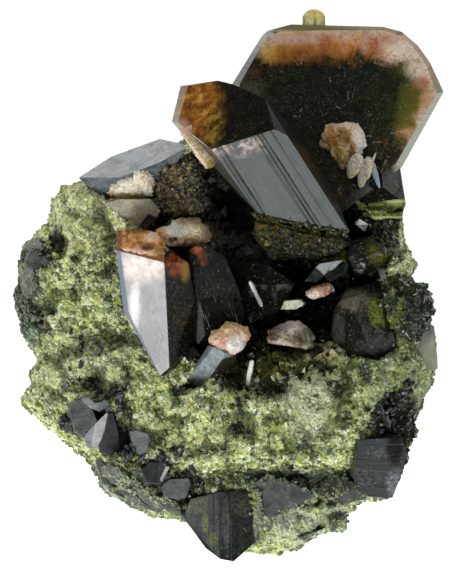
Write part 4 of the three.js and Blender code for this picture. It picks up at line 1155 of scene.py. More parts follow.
def plate_finish():
    """The tabular crystal: black green inside, with an orange, pink and cream band under its upper rim
    that runs inwards in fine streaks, yellow green down its right side, and pale bevels, partly painted
    sheen"""
    look = Finish("tabular_crystal_finish", 0.14)
    fleck, patch = look.cloudy(0.2, 5.0, 0.72), look.cloudy(1.3, 4.0)
    depth = look.attribute("rim")
    fan = look.joined(look.math("DIVIDE", look.attribute("turn"), 0.2), look.math("DIVIDE", depth, 1.3))
    streak = look.noise(fan, 1.0, 4.0, 0.7)
    base = look.ramp(look.span(fleck, 0.3, 0.75), [
        (0.0, (0.005, 0.006, 0.004)), (0.4, (0.014, 0.017, 0.01)), (0.7, (0.035, 0.042, 0.02)),
        (1.0, (0.12, 0.14, 0.08))])
    base = look.mix(look.times(look.span(patch, 0.5, 0.66), 0.6), base, (0.006, 0.007, 0.005))
    base = look.mix(look.span(streak, 0.56, 0.72, 0.0, 0.6), base, (0.055, 0.06, 0.02))
    reach = look.sway(depth, (patch, 3.0), (streak, 2.2), (fleck, 1.2))
    upper_band = look.ramp(look.math("DIVIDE", reach, 3.2, clamp=True), [
        (0.0, (0.86, 0.62, 0.48)), (0.2, (0.8, 0.47, 0.28)), (0.38, (0.68, 0.28, 0.07)),
        (0.58, (0.42, 0.16, 0.03)), (0.78, (0.1, 0.055, 0.012)), (0.94, (0.012, 0.013, 0.007))])
    right_band = look.ramp(look.math("DIVIDE", reach, 3.4, clamp=True), [
        (0.0, (0.74, 0.56, 0.44)), (0.14, (0.5, 0.3, 0.13)), (0.28, (0.2, 0.17, 0.03)),
        (0.5, (0.07, 0.08, 0.014)), (0.85, (0.012, 0.014, 0.008))])
    base = look.patches(base, [(17.4, 16.0, 4.6, 5.4, right_band, 0.2, 0.4),
                               (8.6, 21.6, 8.4, 4.0, upper_band, 0.12, 0.3)])
    base = look.patches(base, PLATE_TINTS, 0.6, 1.1, within=look.span(fleck, 0.36, 0.6, 0.35, 1.0))
    near = look.span(reach, 2.6, 0.8)
    for part, low, share in ((look.cloudy(0.5, 5.0, 0.75), 0.5, 0.45), (streak, 0.47, 0.6)):
        dim = look.times(near, look.span(part, low, low - 0.14, 0.0, share))
        base = look.mix(dim, base, (0.2, 0.085, 0.03))
    # Bevels: the pale grey patches on the left and the lower right are painted sheen
    bevel = look.patches((0.012, 0.014, 0.01), BEVEL_TINTS_AND_SHEEN, 0.1, 0.2)
    bevel = look.mix(look.span(streak, 0.5, 0.36, 0.0, 0.55), bevel, (0.06, 0.06, 0.04))
    base = look.mix(look.times(look.attribute("edge"), 0.9), base, bevel)
    base = look.specks(base, 0.13, 0.02, 0.3, (0.36, 0.42, 0.28))
    side = look.mix(look.span(streak, 0.42, 0.62), (0.016, 0.02, 0.012), (0.13, 0.14, 0.1))
    base = look.mix(look.faces((0, 0, 1), 0.2, 0.4), side, base)
    return look.done(base, look.span(fleck, 0.35, 0.7, 0.08, 0.22), look.math("ADD", fleck, patch), 0.15)


# The ways that the grooved faces of the two big prisms look
CENTRAL_FACING = (-0.27, -0.49, 1)
WHITE_FACING = (-0.34, -0.44, 1)


def central_finish():
    """The big prism: grey striated face, partly a painted sheen, black and amber end, dark sides, and
    painted highlights on the faces that look left
    """
    look = Finish("central_prism_finish", 0.13, Specular_IOR_Level=0.14)
    along = (0.524, -0.812, -0.256)
    across = beside(along, CENTRAL_FACING)
    streak = look.streaks(along, across, 0.08)
    fleck, patch, veil = look.cloudy(0.24, 5.0, 0.72), look.cloudy(1.2, 4.0), look.cloudy(0.9, 6.0, 0.65)
    base = look.ramp(look.span(fleck, 0.36, 0.76), [
        (0.0, (0.003, 0.003, 0.002)), (0.5, (0.01, 0.009, 0.006)), (0.75, (0.03, 0.024, 0.01)),
        (1.0, (0.1, 0.08, 0.04))])
    amber = look.ramp(look.span(veil, 0.3, 0.7), [
        (0.0, (0.1, 0.035, 0.006)), (0.35, (0.27, 0.095, 0.012)), (0.65, (0.4, 0.16, 0.02)),
        (1.0, (0.6, 0.36, 0.08))])
    ochre = look.mix(look.span(veil, 0.42, 0.62), (0.06, 0.035, 0.006), (0.32, 0.2, 0.03))
    base = look.patches(base, [
        (-2.5, 14.7, 1.9, 2.6, amber, 0.4, 0.7), (-1.1, 13.2, 0.7, 1.5, ochre, 0.6, 1.0),
        (-3.9, 12.6, 0.9, 1.2, (0.5, 0.28, 0.2), 0.4, 0.8)])
    grey = look.mix(look.span(patch, 0.3, 0.7), (0.047, 0.06, 0.058), (0.085, 0.106, 0.103))
    grey = look.mix(look.times(look.span(streak, 0.47, 0.6), 0.4), grey, (0.02, 0.024, 0.02))
    place = look.vector("DOT_PRODUCT", look.mm, tuple(across))
    for groove in (-7.5, -10.4):
        away = look.math("ABSOLUTE", look.math("SUBTRACT", place, groove))
        grey = look.mix(look.span(away, 0.0, 0.5, 0.55, 0.0), grey, (0.05, 0.062, 0.025))
    grey = look.patches(grey, [(0.1, 11.5, 2.4, 0.8, (0.62, 0.47, 0.42), 0.6, 0.9)],
                        within=look.span(veil, 0.42, 0.58))
    grey = look.specks(grey, 0.13, 0.06, 0.25, (0.4, 0.42, 0.4))
    # The grooved face's grey is partly its own frosted colour and partly a painted sheen
    face = look.faces(CENTRAL_FACING, 0.9, 0.97)
    base = look.mix(face, base, grey)
    # Painted highlights: faces that look left turn pale grey
    base = look.mix(look.faces((-1, 0, 0.3), 0.75, 0.9), base, (0.36, 0.37, 0.32))
    duller = look.times(look.math("MAXIMUM", face, look.faces((0.8, 0.56, 0.2), 0.85, 0.95)), 0.24)
    roughness = look.math("ADD", look.span(patch, 0.35, 0.7, 0.1, 0.2), duller)
    return look.done(base, roughness, look.math("ADD", streak, look.times(fleck, 0.7)), 0.2)


def white_finish():
    """The bright prism: grey-white face, partly a painted sheen, with cream patches and a painted white
    highlight, amber end, dark right side, and painted bluish light on the faces that look left
    """
    look = Finish("white_prism_finish", 0.24)
    streak = look.streaks(Vector((0.13, -0.97, -0.38)).normalized(),
                          Vector((1.0, 0.13, 0.3)).normalized(), 0.07)
    fleck, veil = look.cloudy(0.22, 5.0, 0.72), look.cloudy(0.7, 5.0, 0.6)
    base = look.ramp(look.span(fleck, 0.36, 0.76), [
        (0.0, (0.004, 0.004, 0.003)), (0.5, (0.012, 0.011, 0.007)), (1.0, (0.1, 0.09, 0.05))])
    red = look.mix(look.span(veil, 0.38, 0.6), (0.1, 0.015, 0.005), (0.5, 0.11, 0.03))
    base = look.patches(base, [
        (-4.2, 1.9, 0.7, 0.8, red), (-3.4, 1.6, 0.35, 0.8, (0.36, 0.2, 0.04))], 0.6, 0.9)
    pale = look.mix(look.span(veil, 0.3, 0.65), (0.16, 0.163, 0.165), (0.29, 0.293, 0.295))
    pale = look.mix(look.times(look.span(streak, 0.46, 0.6), 0.4), pale, (0.15, 0.15, 0.16))
    cream = look.mix(look.span(veil, 0.35, 0.6), (0.6, 0.48, 0.39), (0.84, 0.78, 0.72))
    pale = look.patches(pale, [
        # The pale streak at -7.5, -1.4 is a painted highlight
        (-7.0, 1.8, 1.9, 1.1, cream, 0.6, 0.7), (-7.5, -1.4, 0.4, 1.6, (0.8, 0.78, 0.76), 0.6, 1.0),
        (-6.2, -4.6, 1.0, 1.6, (0.16, 0.165, 0.17), 0.5, 0.6)])
    # The grey-white face is partly its own colour and partly a painted sheen
    base = look.mix(look.faces(WHITE_FACING, 0.9, 0.97), base, pale)
    # Painted light: faces that look left turn bluish grey
    base = look.mix(look.faces((-0.9, -0.2, 0.35), 0.75, 0.9), base, (0.2, 0.24, 0.33))
    amber = look.mix(look.span(veil, 0.35, 0.68), (0.16, 0.05, 0.012), (0.5, 0.21, 0.04))
    base = look.mix(look.faces((-0.08, 0.48, 0.87), 0.85, 0.93), base, amber)
    base = look.patches(base, [(-7.1, 4.3, 2.6, 1.25, amber, 0.2, 0.4)])
    relief = look.math("ADD", streak, look.times(veil, 1.5))
    return look.done(base, look.span(fleck, 0.35, 0.7, 0.2, 0.34), relief, 0.2)


def tip_finish(name, low, high, tints=(), roughness=0.32, clear=0.0):
    """Waxy orange, pink and cream crystal ends: two colours mottled, dark pores and veins, tinted
    patches. A clear one lets light through."""
    look = Finish(name, roughness, 1.55, Transmission_Weight=clear, Subsurface_Weight=0.25,
                  Subsurface_Scale=1.0, Subsurface_Radius=(0.5 * MM, 0.25 * MM, 0.12 * MM))
    fleck = look.cloudy(0.32, 5.0, 0.72)
    base = look.patches(look.mix(look.span(fleck, 0.38, 0.6), low, high), tints, 0.45, 0.8)
    deep = dimmed(low, 0.3)
    base = look.mix(look.span(fleck, 0.36, 0.28), base, deep)
    away = look.math("ABSOLUTE", look.math("SUBTRACT", look.cloudy(1.0, 5.0, 0.65), 0.5))
    vein = look.span(away, 0.0, 0.03, 0.55, 0.0)
    return look.done(look.mix(vein, base, deep),
                     look.span(fleck, 0.35, 0.7, roughness - 0.12, roughness + 0.12),
                     look.math("SUBTRACT", fleck, vein), 0.35, 0.08)


def brown_finish():
    """Brown glassy crystal, grainy, flecked with green, and with white specks that are partly painted glints
    """
    look = Finish("brown_finish", 0.4, Specular_IOR_Level=0.15)
    fleck = look.cloudy(0.35, 5.0, 0.7)
    base = look.ramp(look.span(fleck, 0.3, 0.72), [
        (0.0, (0.012, 0.01, 0.006)), (0.5, (0.06, 0.045, 0.02)), (0.8, (0.16, 0.11, 0.04)),
        (1.0, (0.4, 0.34, 0.2))])
    base = look.patches(base, [
        (-6.3, 7.4, 0.6, 0.8, (0.36, 0.18, 0.06)), (-4.6, 6.3, 1.0, 0.6, (0.14, 0.14, 0.03)),
        (-2.4, 6.4, 0.9, 0.6, (0.36, 0.24, 0.12)),
        (-1.7, 8.6, 1.2, 2.6, (0.012, 0.011, 0.008), 0.5, 0.7)], 0.4, 0.8)
    base = look.specks(base, 0.2, 0.09, 0.5, (0.55, 0.52, 0.46))
    return look.done(base, None, fleck, 0.6, 0.1)


def needle_finish():
    """Silky white"""
    look = Finish("needle_finish", 0.3, 1.6)
    vein = look.cloudy(0.2, 4.0)
    base = look.mix(look.span(vein, 0.35, 0.6), (0.72, 0.7, 0.6), (0.97, 0.97, 0.92))
    return look.done(base, None, vein, 0.3, 0.03)


# Pieces

FINE_GRID = (110, 190)
SEATED = [
    "central_prism", "slate_crystal", "brown_crystal", "white_prism", "capped_crystal", "dark_prism",
    "block_crystal", "olive_crystal", "inner_crystal", "pink_crystal", "pale_crystal", "round_crystal",
    "smoky_crystal", "corner_crystal", "edge_slab", "slab_crystal",
]


def left_half(points):
    """The end prism on the left"""
    return points[:, 0] < -0.35


def right_half(points):
    """The end prism on the right, whose foot reaches under the other"""
    return points[:, 0] > -0.72


def shaft_part(points):
    """The tipped prism below its rounded tip"""
    return points[:, 1] + 0.45 * points[:, 0] < -5.2


def crystal_hulls(settings):
    """Planes of every flat-faced crystal that the rock holds"""
    corners = [node_corners(node) for node in SEATED]
    corners += [node_corners("end_prisms", half) for half in (left_half, right_half)]
    corners.append(node_corners("tipped_prism", shaft_part))
    corners += [rings.reshape(-1, 3) for _, rings, _ in facet_rings(settings)]
    return [hull_planes(points) for points in corners]


def grow(settings, node, material, slot, name=None, keep=None, **work):
    """A flat-faced crystal in place of a node, or of the part of it that keep says"""
    piece = crystal_mesh(name or node + "_grown", node_corners(node, keep), settings, **work)
    finish_piece(piece, material, slot, node)


def round_end(name, material, slot, node, knobs, **shape):
    """A rounded end in place of a node"""
    finish_piece(put_skin(name, knobbed(knobs, **shape)), material, slot, node)


class CLUSTER_OT_rock(bpy.types.Operator):
    """Grows the granular rock and covers it with grains"""

    bl_idname = "cluster.rock"
    bl_label = "Rock and grains"

    def execute(self, context):
        settings = plain_settings(context.scene)
        rings, covered = rock_rings(settings, crystal_hulls(settings))
        # The dark values hold dark rock and painted shade in the hollow and the pits; the crease values are
        # used to paint shade into the creases
        dark, crease = darkness_and_shade(rings), creases(rings)
        skin = put_skin("rock_skin", rings, dark=dark, crease=crease)
        finish_piece(skin, rock_finish(settings), "rock", "matrix")
        free = np.minimum(1, rings[..., 2] / 0.9) * ~covered
        # A grain's tone: dark in the dark places, and darkened in the creases as painted shade
        tone = np.maximum(dark, 0.5 * ease((crease - 0.55) / 0.4))
        light = 1 - 0.95 * dark, 1 - 0.9 * dark
        # Pale and glint grains thin out in the creases as painted shade, and dark grains crowd into the dark
        # places
        sorts = [
            ("cream_grains", light[0] * (1 - 0.6 * crease), 0.85, (0.56, 0.63, 0.28), settings.cream, 0.3),
            ("green_grains", 1 - 0.8 * dark, 1.0, settings.moss, settings.leaf, 0.34),
            ("dark_grains", 0.25 + 1.7 * dark, 1.15, (0.05, 0.065, 0.04), (0.17, 0.22, 0.12), 0.2),
            # The glint grains are near white and glossy, and stand partly for painted glints
            ("glint_grains", light[1] * (1 - 0.8 * crease), 0.55, (0.6, 0.66, 0.42),
             (0.97, 0.98, 0.9), 0.12),
        ]
        for seed, (name, weight, scale, low, high, roughness) in enumerate(sorts, 21):
            places, normals, tones_and_shading, dice = pick_on(rings, settings.grain_count, seed, weight * free, tone)
            sizes = settings.grain_size * scale * (0.6 + 0.9 * dice.random(len(places)) ** 2)
            places = places - normals * sizes[:, None] * 0.15
            places[:, 2] = np.maximum(places[:, 2], 0.75 * sizes)
            piece = put_grains(name, places, sizes, dice, tones_and_shading)
            finish_piece(piece, grain_finish(name + "_finish", low, high, roughness,
                                             (0.012, 0.014, 0.008)), "rock")
        return {"FINISHED"}


def plate_rings(settings, around=520):
    """The plate as rings: from the middle of its back out to the back's edge, up the side, in over the
    bevel, and in across the face, a plane that leans a little. Returns the rings, and at each point
    its distance from the face's rim, 1 on the bevels and sides, and its place along the rim."""
    face = along_outline(PLATE_FACE, around)
    edge = along_outline(PLATE_EDGE, around, PLATE_FACE)
    middle = np.array([8.9, 14.4])

    def ring(outline, share, drop):
        spread = middle + (outline - middle) * share
        height = settings.plate_height + 0.04 * (spread[:, 0] - 8.7) - 0.08 * (spread[:, 1] - 15.2)
        return np.column_stack([spread, height - drop])

    bevel, back = 0.35, settings.plate_thickness
    rows = [ring(edge, share, back + 0.1) for share in np.linspace(0.05, 0.95, 24)]
    rows += [ring(edge, 0.985, back), ring(edge, 1.0, back - 0.12)]
    rim_row = len(rows)
    rows += [ring(edge, 1.0, drop) for drop in np.linspace(back - 0.3, bevel + 0.12, 14)]
    rows.append(ring(edge, 0.998, bevel + 0.03))
    rows += [ring(edge + (face - edge) * t, 1.0, bevel * (1 - t)) for t in np.linspace(0.04, 0.96, 8)]
    front = len(rows)
    rows += [ring(face, share, 0.0) for share in 1 - np.linspace(0.004, 0.97, 90)]
    rings = np.stack(rows)
    rim, side = np.zeros((2, *rings.shape[:2]))
    rim[front:] = outline_distance(rings[front:, :, :2], PLATE_FACE)
    side[rim_row:front] = 1
    turn = np.ones((len(rows), 1)) * np.linspace(0, 50, around)
    dents = 0.05 * ease((cloud(rings, 0.7, 14) - 0.7) / 0.12) + 0.02 * rough(rings, 1.2, 3, 15)
    away_x, away_y = rings[..., 0] - 9.6, rings[..., 1] - 19.4
    on_crack = (np.abs(away_y) < 0.6) & (away_x > 0)
    crack = 0.12 * np.maximum(0, 1 - np.abs(np.hypot(away_x, away_y) - 0.95) / 0.1) * on_crack
    rings[front:, :, 2] -= dents[front:] * np.minimum(1, rim[front:] / 0.4)
    rings[front:, :, 2] -= crack[front:]
    return rings, {"rim": rim, "edge": side, "turn": turn}


def nub_rings():
    """A stub prism along Y with eight sides, closed by a low dome"""
    turn = (np.arange(8) + 0.5) * np.pi / 4
    rows = [(20.42, 1.0), (21.2, 1.0), (22.02, 0.99), (22.1, 0.96), (22.3, 0.82), (22.5, 0.58),
            (22.62, 0.28)]
    return np.stack([np.stack([7 + share * np.cos(turn), np.full(8, y),
                               10.4 + 0.8 * share * np.sin(turn)], axis=-1) for y, share in rows])


class CLUSTER_OT_plate(bpy.types.Operator):
    """Grows the tabular crystal and the small prism on its upper edge"""

    bl_idname = "cluster.plate"
    bl_label = "Tabular crystal"

    def execute(self, context):
        rings, values = plate_rings(plain_settings(context.scene))
        plate = put_skin("tabular_crystal_grown", rings, smooth=False, **values)
        finish_piece(plate, plate_finish(), "plate", "tabular_crystal")
        pale = tip_finish("nub_finish", (0.85, 0.8, 0.36), (1.0, 0.98, 0.56), [
            (7.0, 22.3, 1.2, 0.5, (0.96, 0.82, 0.2)), (6.3, 21.3, 0.3, 0.9, (0.75, 0.68, 0.4)),
            (7.1, 21.3, 0.15, 0.7, (0.4, 0.4, 0.16))], 0.14, 0.5)
        nub = put_skin("nub_crystal_grown", nub_rings(), smooth=False)
        finish_piece(nub, pale, "pale_crystal", "nub_crystal")
        return {"FINISHED"}


def prism_list(settings):
    """The striated crystals: node, material, slot and how their faces are worked"""
    slate_run, dark_run, upright = (0.85, 0.45, 0.4), (0.35, -0.9, -0.3), (0, -1, -0.3)
    slate = slate_finish("slate_finish", settings, slate_run, 1.25, 0.28,
                         [(-7.2, 8.0, 1.6, 0.5, (0.42, 0.22, 0.08))])
    dark = dark_finish("dark_prism_finish", settings, dark_run, streaks=0.9, gloss=0.08, lines=True, tints=[
        (-2.5, 3.1, 0.45, 0.3, (0.42, 0.1, 0.03)), (-2.0, 2.4, 0.4, 0.6, (0.14, 0.05, 0.02))])
    ribbed = dark_finish(
        "ribbed_finish", settings, (1, 0, 0.1), slate=0.5, roughness=0.26, streaks=1.2, gloss=0.2, tints=[
            (12.4, -13.4, 1.1, 0.45, (0.13, 0.15, 0.14)), (11.2, -15.4, 1.4, 0.8, (0.12, 0.135, 0.13)),
            # The pale blue patch at 13.6, -15.8 is a painted glint
            (13.6, -15.8, 0.7, 1.1, (0.28, 0.34, 0.36)), (13.6, -13.0, 0.7, 1.3, (0.02, 0.025, 0.02)),
            (9.9, -13.6, 0.7, 1.4, (0.09, 0.11, 0.05))])
    ends = dark_finish(
        "end_prism_finish", settings, upright, slate=0.04, roughness=0.22, streaks=0.2, gloss=0.08, tints=[
            # The green patches on the left prism are painted glints
            (-0.6, -18.8, 3.0, 3.2, (0.026, 0.032, 0.029)), (-2.4, -17.6, 0.9, 0.7, (0.075, 0.1, 0.05)),
            (-1.8, -19.0, 0.3, 0.9, (0.13, 0.17, 0.05)), (-1.2, -20.4, 0.4, 0.5, (0.1, 0.13, 0.03)),
            (-3.2, -17.0, 0.3, 1.2, (0.1, 0.13, 0.07)), (-0.1, -19.2, 0.3, 2.0, (0.1, 0.115, 0.1)),
            (1.2, -17.6, 1.0, 0.9, (0.06, 0.068, 0.05)), (2.3, -18.4, 0.2, 2.0, (0.34, 0.36, 0.3))])
    pair = [(share, 0.012, 0.012) for share in (0.3, 0.8)]
    return [
        ("central_prism", central_finish(), "dark_crystal", dict(
            striae=(CENTRAL_FACING, (0.542, -0.84, -0.265)),
            grooves=[(0.08, 0.014, 0.04), (0.13, 0.016, 0.05), (0.2, 0.012, 0.03), (0.6, 0.014, 0.04),
                     (0.66, 0.02, 0.05), (0.72, 0.012, 0.04), (0.84, 0.014, 0.03)])),
        ("white_prism", white_finish(), "white_crystal", dict(
            striae=(WHITE_FACING, (0.13, -0.97, -0.38)))),
        ("slate_crystal", slate, "slate_crystal", dict(striae=((-0.28, -0.46, 1), slate_run))),
        ("dark_prism", dark, "dark_crystal", dict(
            striae=((0.1, 0.3, 1), dark_run), grooves=[(0.3, 0.03, 0.05), (0.7, 0.03, 0.04)])),
        ("slab_crystal", ribbed, "slate_crystal", dict(
            striae=((0.12, -0.16, 1), (1, 0, -0.12)),
            grooves=[(share, 0.022, 0.07) for share in (0.1, 0.2, 0.3, 0.38, 0.46, 0.55, 0.66, 0.74, 0.9)])),
        ("end_prisms", ends, "dark_crystal", dict(
            name="end_prism_left", keep=left_half, striae=((-0.2, -0.34, 1), upright), grooves=pair)),
        ("end_prisms", ends, "dark_crystal", dict(
            name="end_prism_right", keep=right_half, striae=((-0.02, -0.3, 1), upright), grooves=pair)),
    ]


def lump_list(settings):
    """The uneven crystals: node, material, slot and how they are crumpled"""
    black = dark_finish("black_crystal_finish", settings, (0.3, -0.9, 0), gloss=0.12)
    olive = dark_finish("olive_finish", settings, (1, 0, 0), roughness=0.45, gloss=0.05, tints=[
        (5.4, 4.6, 3.8, 1.4, (0.06, 0.056, 0.014)), (3.2, 5.2, 1.3, 0.6, (0.12, 0.075, 0.014)),
        (7.6, 3.4, 1.4, 0.7, (0.02, 0.02, 0.01)), (4.0, 3.6, 1.0, 0.7, (0.02, 0.018, 0.01))])
    corner = dark_finish("corner_finish", settings, (0.8, 0.4, 0), roughness=0.2,
                         tints=[(12.2, 3, 0.9, 1.1, (0.14, 0.13, 0.02))])
    smoky = dark_finish("smoky_finish", settings, (0, 1, 0), roughness=0.24, gloss=0.12, tints=[
        (10.3, -1.0, 1.3, 0.9, (0.15, 0.13, 0.1)), (12.4, -1.8, 1.0, 1.2, (0.2, 0.23, 0.04)),
        (9.0, -3.4, 0.5, 1.6, (0.07, 0.07, 0.06)), (12.2, -4.6, 1.8, 0.7, (0.05, 0.052, 0.05))])
    slab = slate_finish("edge_slab_finish", settings, (0.2, 1, 0), 1.5, 0.4,
                        [(16.6, -5.6, 0.8, 1.6, (0.2, 0.24, 0.12))])
    pale = tip_finish("pale_finish", (0.3, 0.36, 0.22), (0.52, 0.55, 0.4))
    return [
        ("block_crystal", black, "dark_crystal", dict(crumple=(0.12, 0.8, 0.3))),
        ("olive_crystal", olive, "dark_crystal", dict(crumple=(0.5, 0.6, 0.2))),
        ("inner_crystal", black, "dark_crystal", dict(crumple=(0.2, 1.2, 0.3))),
        ("pale_crystal", pale, "pale_crystal", {}),
        ("corner_crystal", corner, "dark_crystal", dict(crumple=(0.3, 1.0, 0.28))),
        ("smoky_crystal", smoky, "dark_crystal", dict(crumple=(0.22, 1.5, 0.26))),
        ("edge_slab", slab, "slate_crystal", dict(crumple=(0.15, 0.8, 0.3))),
    ]


class CLUSTER_OT_crystals(bpy.types.Operator):
    """Grows the flat-faced crystals"""

    bl_idname = "cluster.crystals"
    bl_label = "Prisms and wedges"

    def execute(self, context):
        settings = plain_settings(context.scene)
        for node, material, slot, work in prism_list(settings) + lump_list(settings):
            grow(settings, node, material, slot, **work)
        return {"FINISHED"}


class CLUSTER_OT_tips(bpy.types.Operator):
    """Grows the rounded, waxy crystal ends, the petals, the cream rod and the needles"""

    bl_idname = "cluster.tips"
    bl_label = "Tips and needles"

    def execute(self, context):
        settings = plain_settings(context.scene)
        self.tipped_prism(settings)
        self.capped_crystal()
        self.knobs()
        self.grainy_cap()
        self.shell()
        self.petals()
        self.brown_crystal()
        self.round_crystal()
        self.pink_crystal()
        self.rods()
        return {"FINISHED"}

    def tipped_prism(self, settings):
        """A grey shaft, whose top reaches into a tip of five knobs"""
        run = (0.5, 0.82, 0.6)
        head = np.array([[-1.6, -4.6, 12.5], [-0.4, -5.7, 13], [1, -5, 12], [0.6, -3.8, 11.2]])
        corners = np.vstack([node_corners("tipped_prism", shaft_part), head])
        shaft = crystal_mesh("tipped_prism_shaft", corners, settings, striae=((-0.45, -0.2, 1), run))
        # Its pale grey on the faces that look up is painted light, made strong here
        grey = slate_finish("shaft_finish", settings, run, 3.0, 0.34)
        finish_piece(shaft, grey, "white_crystal", "tipped_prism")
        waxy = tip_finish("tip_finish", (0.7, 0.4, 0.18), (0.97, 0.72, 0.46), [
            (0.2, -4.9, 1.6, 0.9, settings.blush), (-0.8, -4.9, 0.6, 0.5, (0.85, 0.52, 0.42)),
            (0.75, -4.55, 0.8, 0.75, (0.97, 0.9, 0.84))])
        round_end("tipped_prism_tip", waxy, "cream_crystal", "tipped_prism", [
            ((0.3, -4.3, 12.5), (1.45, 1.25, 1.25)), ((-0.95, -3.95, 12.4), (0.95, 0.85, 1.0)),
            ((0.2, -3.2, 12.4), (1.05, 0.8, 1.0)), ((1.35, -3.6, 12.4), (0.8, 0.85, 0.95)),
            ((-0.6, -4.9, 12.6), (0.7, 0.6, 0.7))], facets=10, seed=31)

    def capped_crystal(self):
        """The cream and orange end: eight knobs with two dents"""
        waxy = tip_finish("cap_finish", (0.82, 0.54, 0.26), (1.0, 0.94, 0.72), [
            (-4.2, 4.8, 0.9, 0.6, (0.98, 0.94, 0.85)), (-5.7, 4.3, 0.7, 0.7, (0.74, 0.42, 0.16)),
            (-2.6, 5.5, 1.3, 0.4, (0.5, 0.38, 0.22)), (-1.5, 4.5, 0.5, 1.0, (0.4, 0.26, 0.15)),
            # The dark spot at -4.4, 3.95 is painted shade in the dent
            (-4.4, 3.95, 0.4, 0.18, (0.09, 0.05, 0.02)), (-2.0, 3.5, 0.8, 0.4, (0.42, 0.14, 0.06))])
        round_end("capped_crystal_grown", waxy, "cream_crystal", "capped_crystal", [
            ((-3.6, 4.5, 11.7), (1.5, 1.05, 1.4)), ((-4.5, 4.25, 11.8), (1.45, 1.1, 1.5)),
            ((-2.6, 4.75, 11.6), (1.3, 1.2, 1.4)), ((-5.5, 4.4, 11.4), (0.8, 0.75, 1.0)),
            ((-1.7, 4.4, 11.2), (0.9, 1.1, 1.2)), ((-3.5, 5.2, 11.4), (1.4, 0.8, 1.2)),
            ((-3.7, 3.7, 11.5), (1.0, 0.6, 1.2)), ((-2.2, 3.7, 11.2), (0.8, 0.6, 1.0))],
            dents=[((-0.5, -0.35, 0.85), 0.4, 0.004), ((0.25, -0.6, 0.8), 0.2, 0.01)],
            wrinkle=0.12, seed=41)

    def set_on(self, node, sunk, spots):
        """Ellipsoids that sit on a crystal's upper faces"""
        return [((x, y, top_of(node, x, y) - sunk), (rx, ry, 0.55 * (ry + 0.25)))
                for x, y, rx, ry in spots]

    def knobs(self):
        """The rusty knobs on the white prism's end"""
        rust = tip_finish("knob_finish", (0.34, 0.13, 0.025), (0.72, 0.36, 0.1), [
            (-7.6, 2.8, 1.6, 0.4, (0.86, 0.62, 0.5)), (-5.0, 2.9, 0.8, 0.4, (0.34, 0.24, 0.09)),
            (-6.0, 4.2, 0.7, 0.45, (0.86, 0.6, 0.4)), (-6.5, 3.3, 0.5, 0.25, (0.12, 0.05, 0.015)),
            (-8.8, 4.0, 0.3, 0.9, (0.16, 0.07, 0.02)), (-7.3, 4.7, 0.9, 0.3, (0.2, 0.09, 0.02))], 0.28)
        knobs = self.set_on("white_prism", 0.15, [
            (-7.1, 3.9, 1.6, 1.1), (-8.25, 4.0, 0.95, 1.0), (-6.0, 3.8, 1.2, 1.0), (-7.6, 3.25, 1.4, 0.75),
            (-5.4, 3.3, 1.0, 0.8), (-4.7, 2.75, 0.8, 0.5), (-8.5, 3.5, 0.65, 0.75), (-8.0, 3.3, 1.2, 0.75),
            (-6.6, 2.95, 1.3, 0.75), (-5.5, 2.6, 1.0, 0.6)])
        round_end("white_prism_knobs", rust, "white_crystal", "white_prism", knobs, wrinkle=0.13, seed=51)

    def grainy_cap(self):
        """The white and orange lower face of the slate crystal"""
        white = tip_finish("grainy_cap_finish", (0.9, 0.76, 0.52), (1.0, 0.98, 0.86), [
            (-8.0, 7.2, 2.2, 0.32, (0.6, 0.32, 0.1)), (-5.6, 8.0, 0.4, 0.9, (0.5, 0.3, 0.14)),
            (-9.6, 7.5, 0.4, 0.3, (0.7, 0.46, 0.2))], 0.4)
        cap = self.set_on("slate_crystal", -0.1, [
            (-7.5, 8.4, 1.8, 1.05), (-6.7, 9.2, 1.0, 0.9), (-8.7, 8.0, 1.4, 0.75), (-6.2, 8.5, 0.9, 1.2),
            (-7.7, 7.6, 1.9, 0.8), (-9.3, 7.6, 0.9, 0.42)])
        round_end("slate_crystal_cap", white, "slate_crystal", "slate_crystal", cap, wrinkle=0.12,
                  wrinkle_size=0.4, seed=81, grid=FINE_GRID)

    def shell(self):
        """The shell on the plate: seven knobs with two dents, cut by four faces"""
        waxy = tip_finish("shell_finish", (0.76, 0.45, 0.18), (1.0, 0.84, 0.55), [
            (11.0, 12.0, 0.8, 1.5, (0.98, 0.93, 0.84)), (9.6, 13.5, 1.4, 0.5, (0.9, 0.7, 0.58)),
            (9.4, 12.2, 0.6, 0.7, (0.38, 0.19, 0.05)), (10.1, 11.0, 0.3, 0.8, (0.26, 0.14, 0.04)),
            (9.0, 10.7, 0.5, 1.1, (0.8, 0.58, 0.18)), (8.4, 12.2, 0.5, 0.9, (0.56, 0.26, 0.07))])
        round_end("tip_shell", waxy, "cream_crystal", "tip_cluster", [
            ((9.7, 12.0, 12.3), (1.8, 1.9, 1.35)), ((10.4, 11.9, 12.4), (1.3, 1.6, 1.2)),
            ((9.6, 12.9, 12.4), (1.5, 1.1, 1.0)), ((9.1, 11.2, 12.3), (1.1, 1.5, 1.1)),
            ((10.1, 10.9, 12.4), (1.1, 1.3, 1.0)), ((8.5, 12.2, 12.3), (1.7, 1.4, 1.0)),
            ((9.4, 10.2, 12.4), (1.1, 1.5, 0.9))], facets=4,
            dents=[((-0.1, -0.05, 1), 0.3, 0.03), ((0.2, -0.5, 0.8), 0.2, 0.01)],
            wrinkle=0.15, wrinkle_size=1.1, seed=61, grid=FINE_GRID)

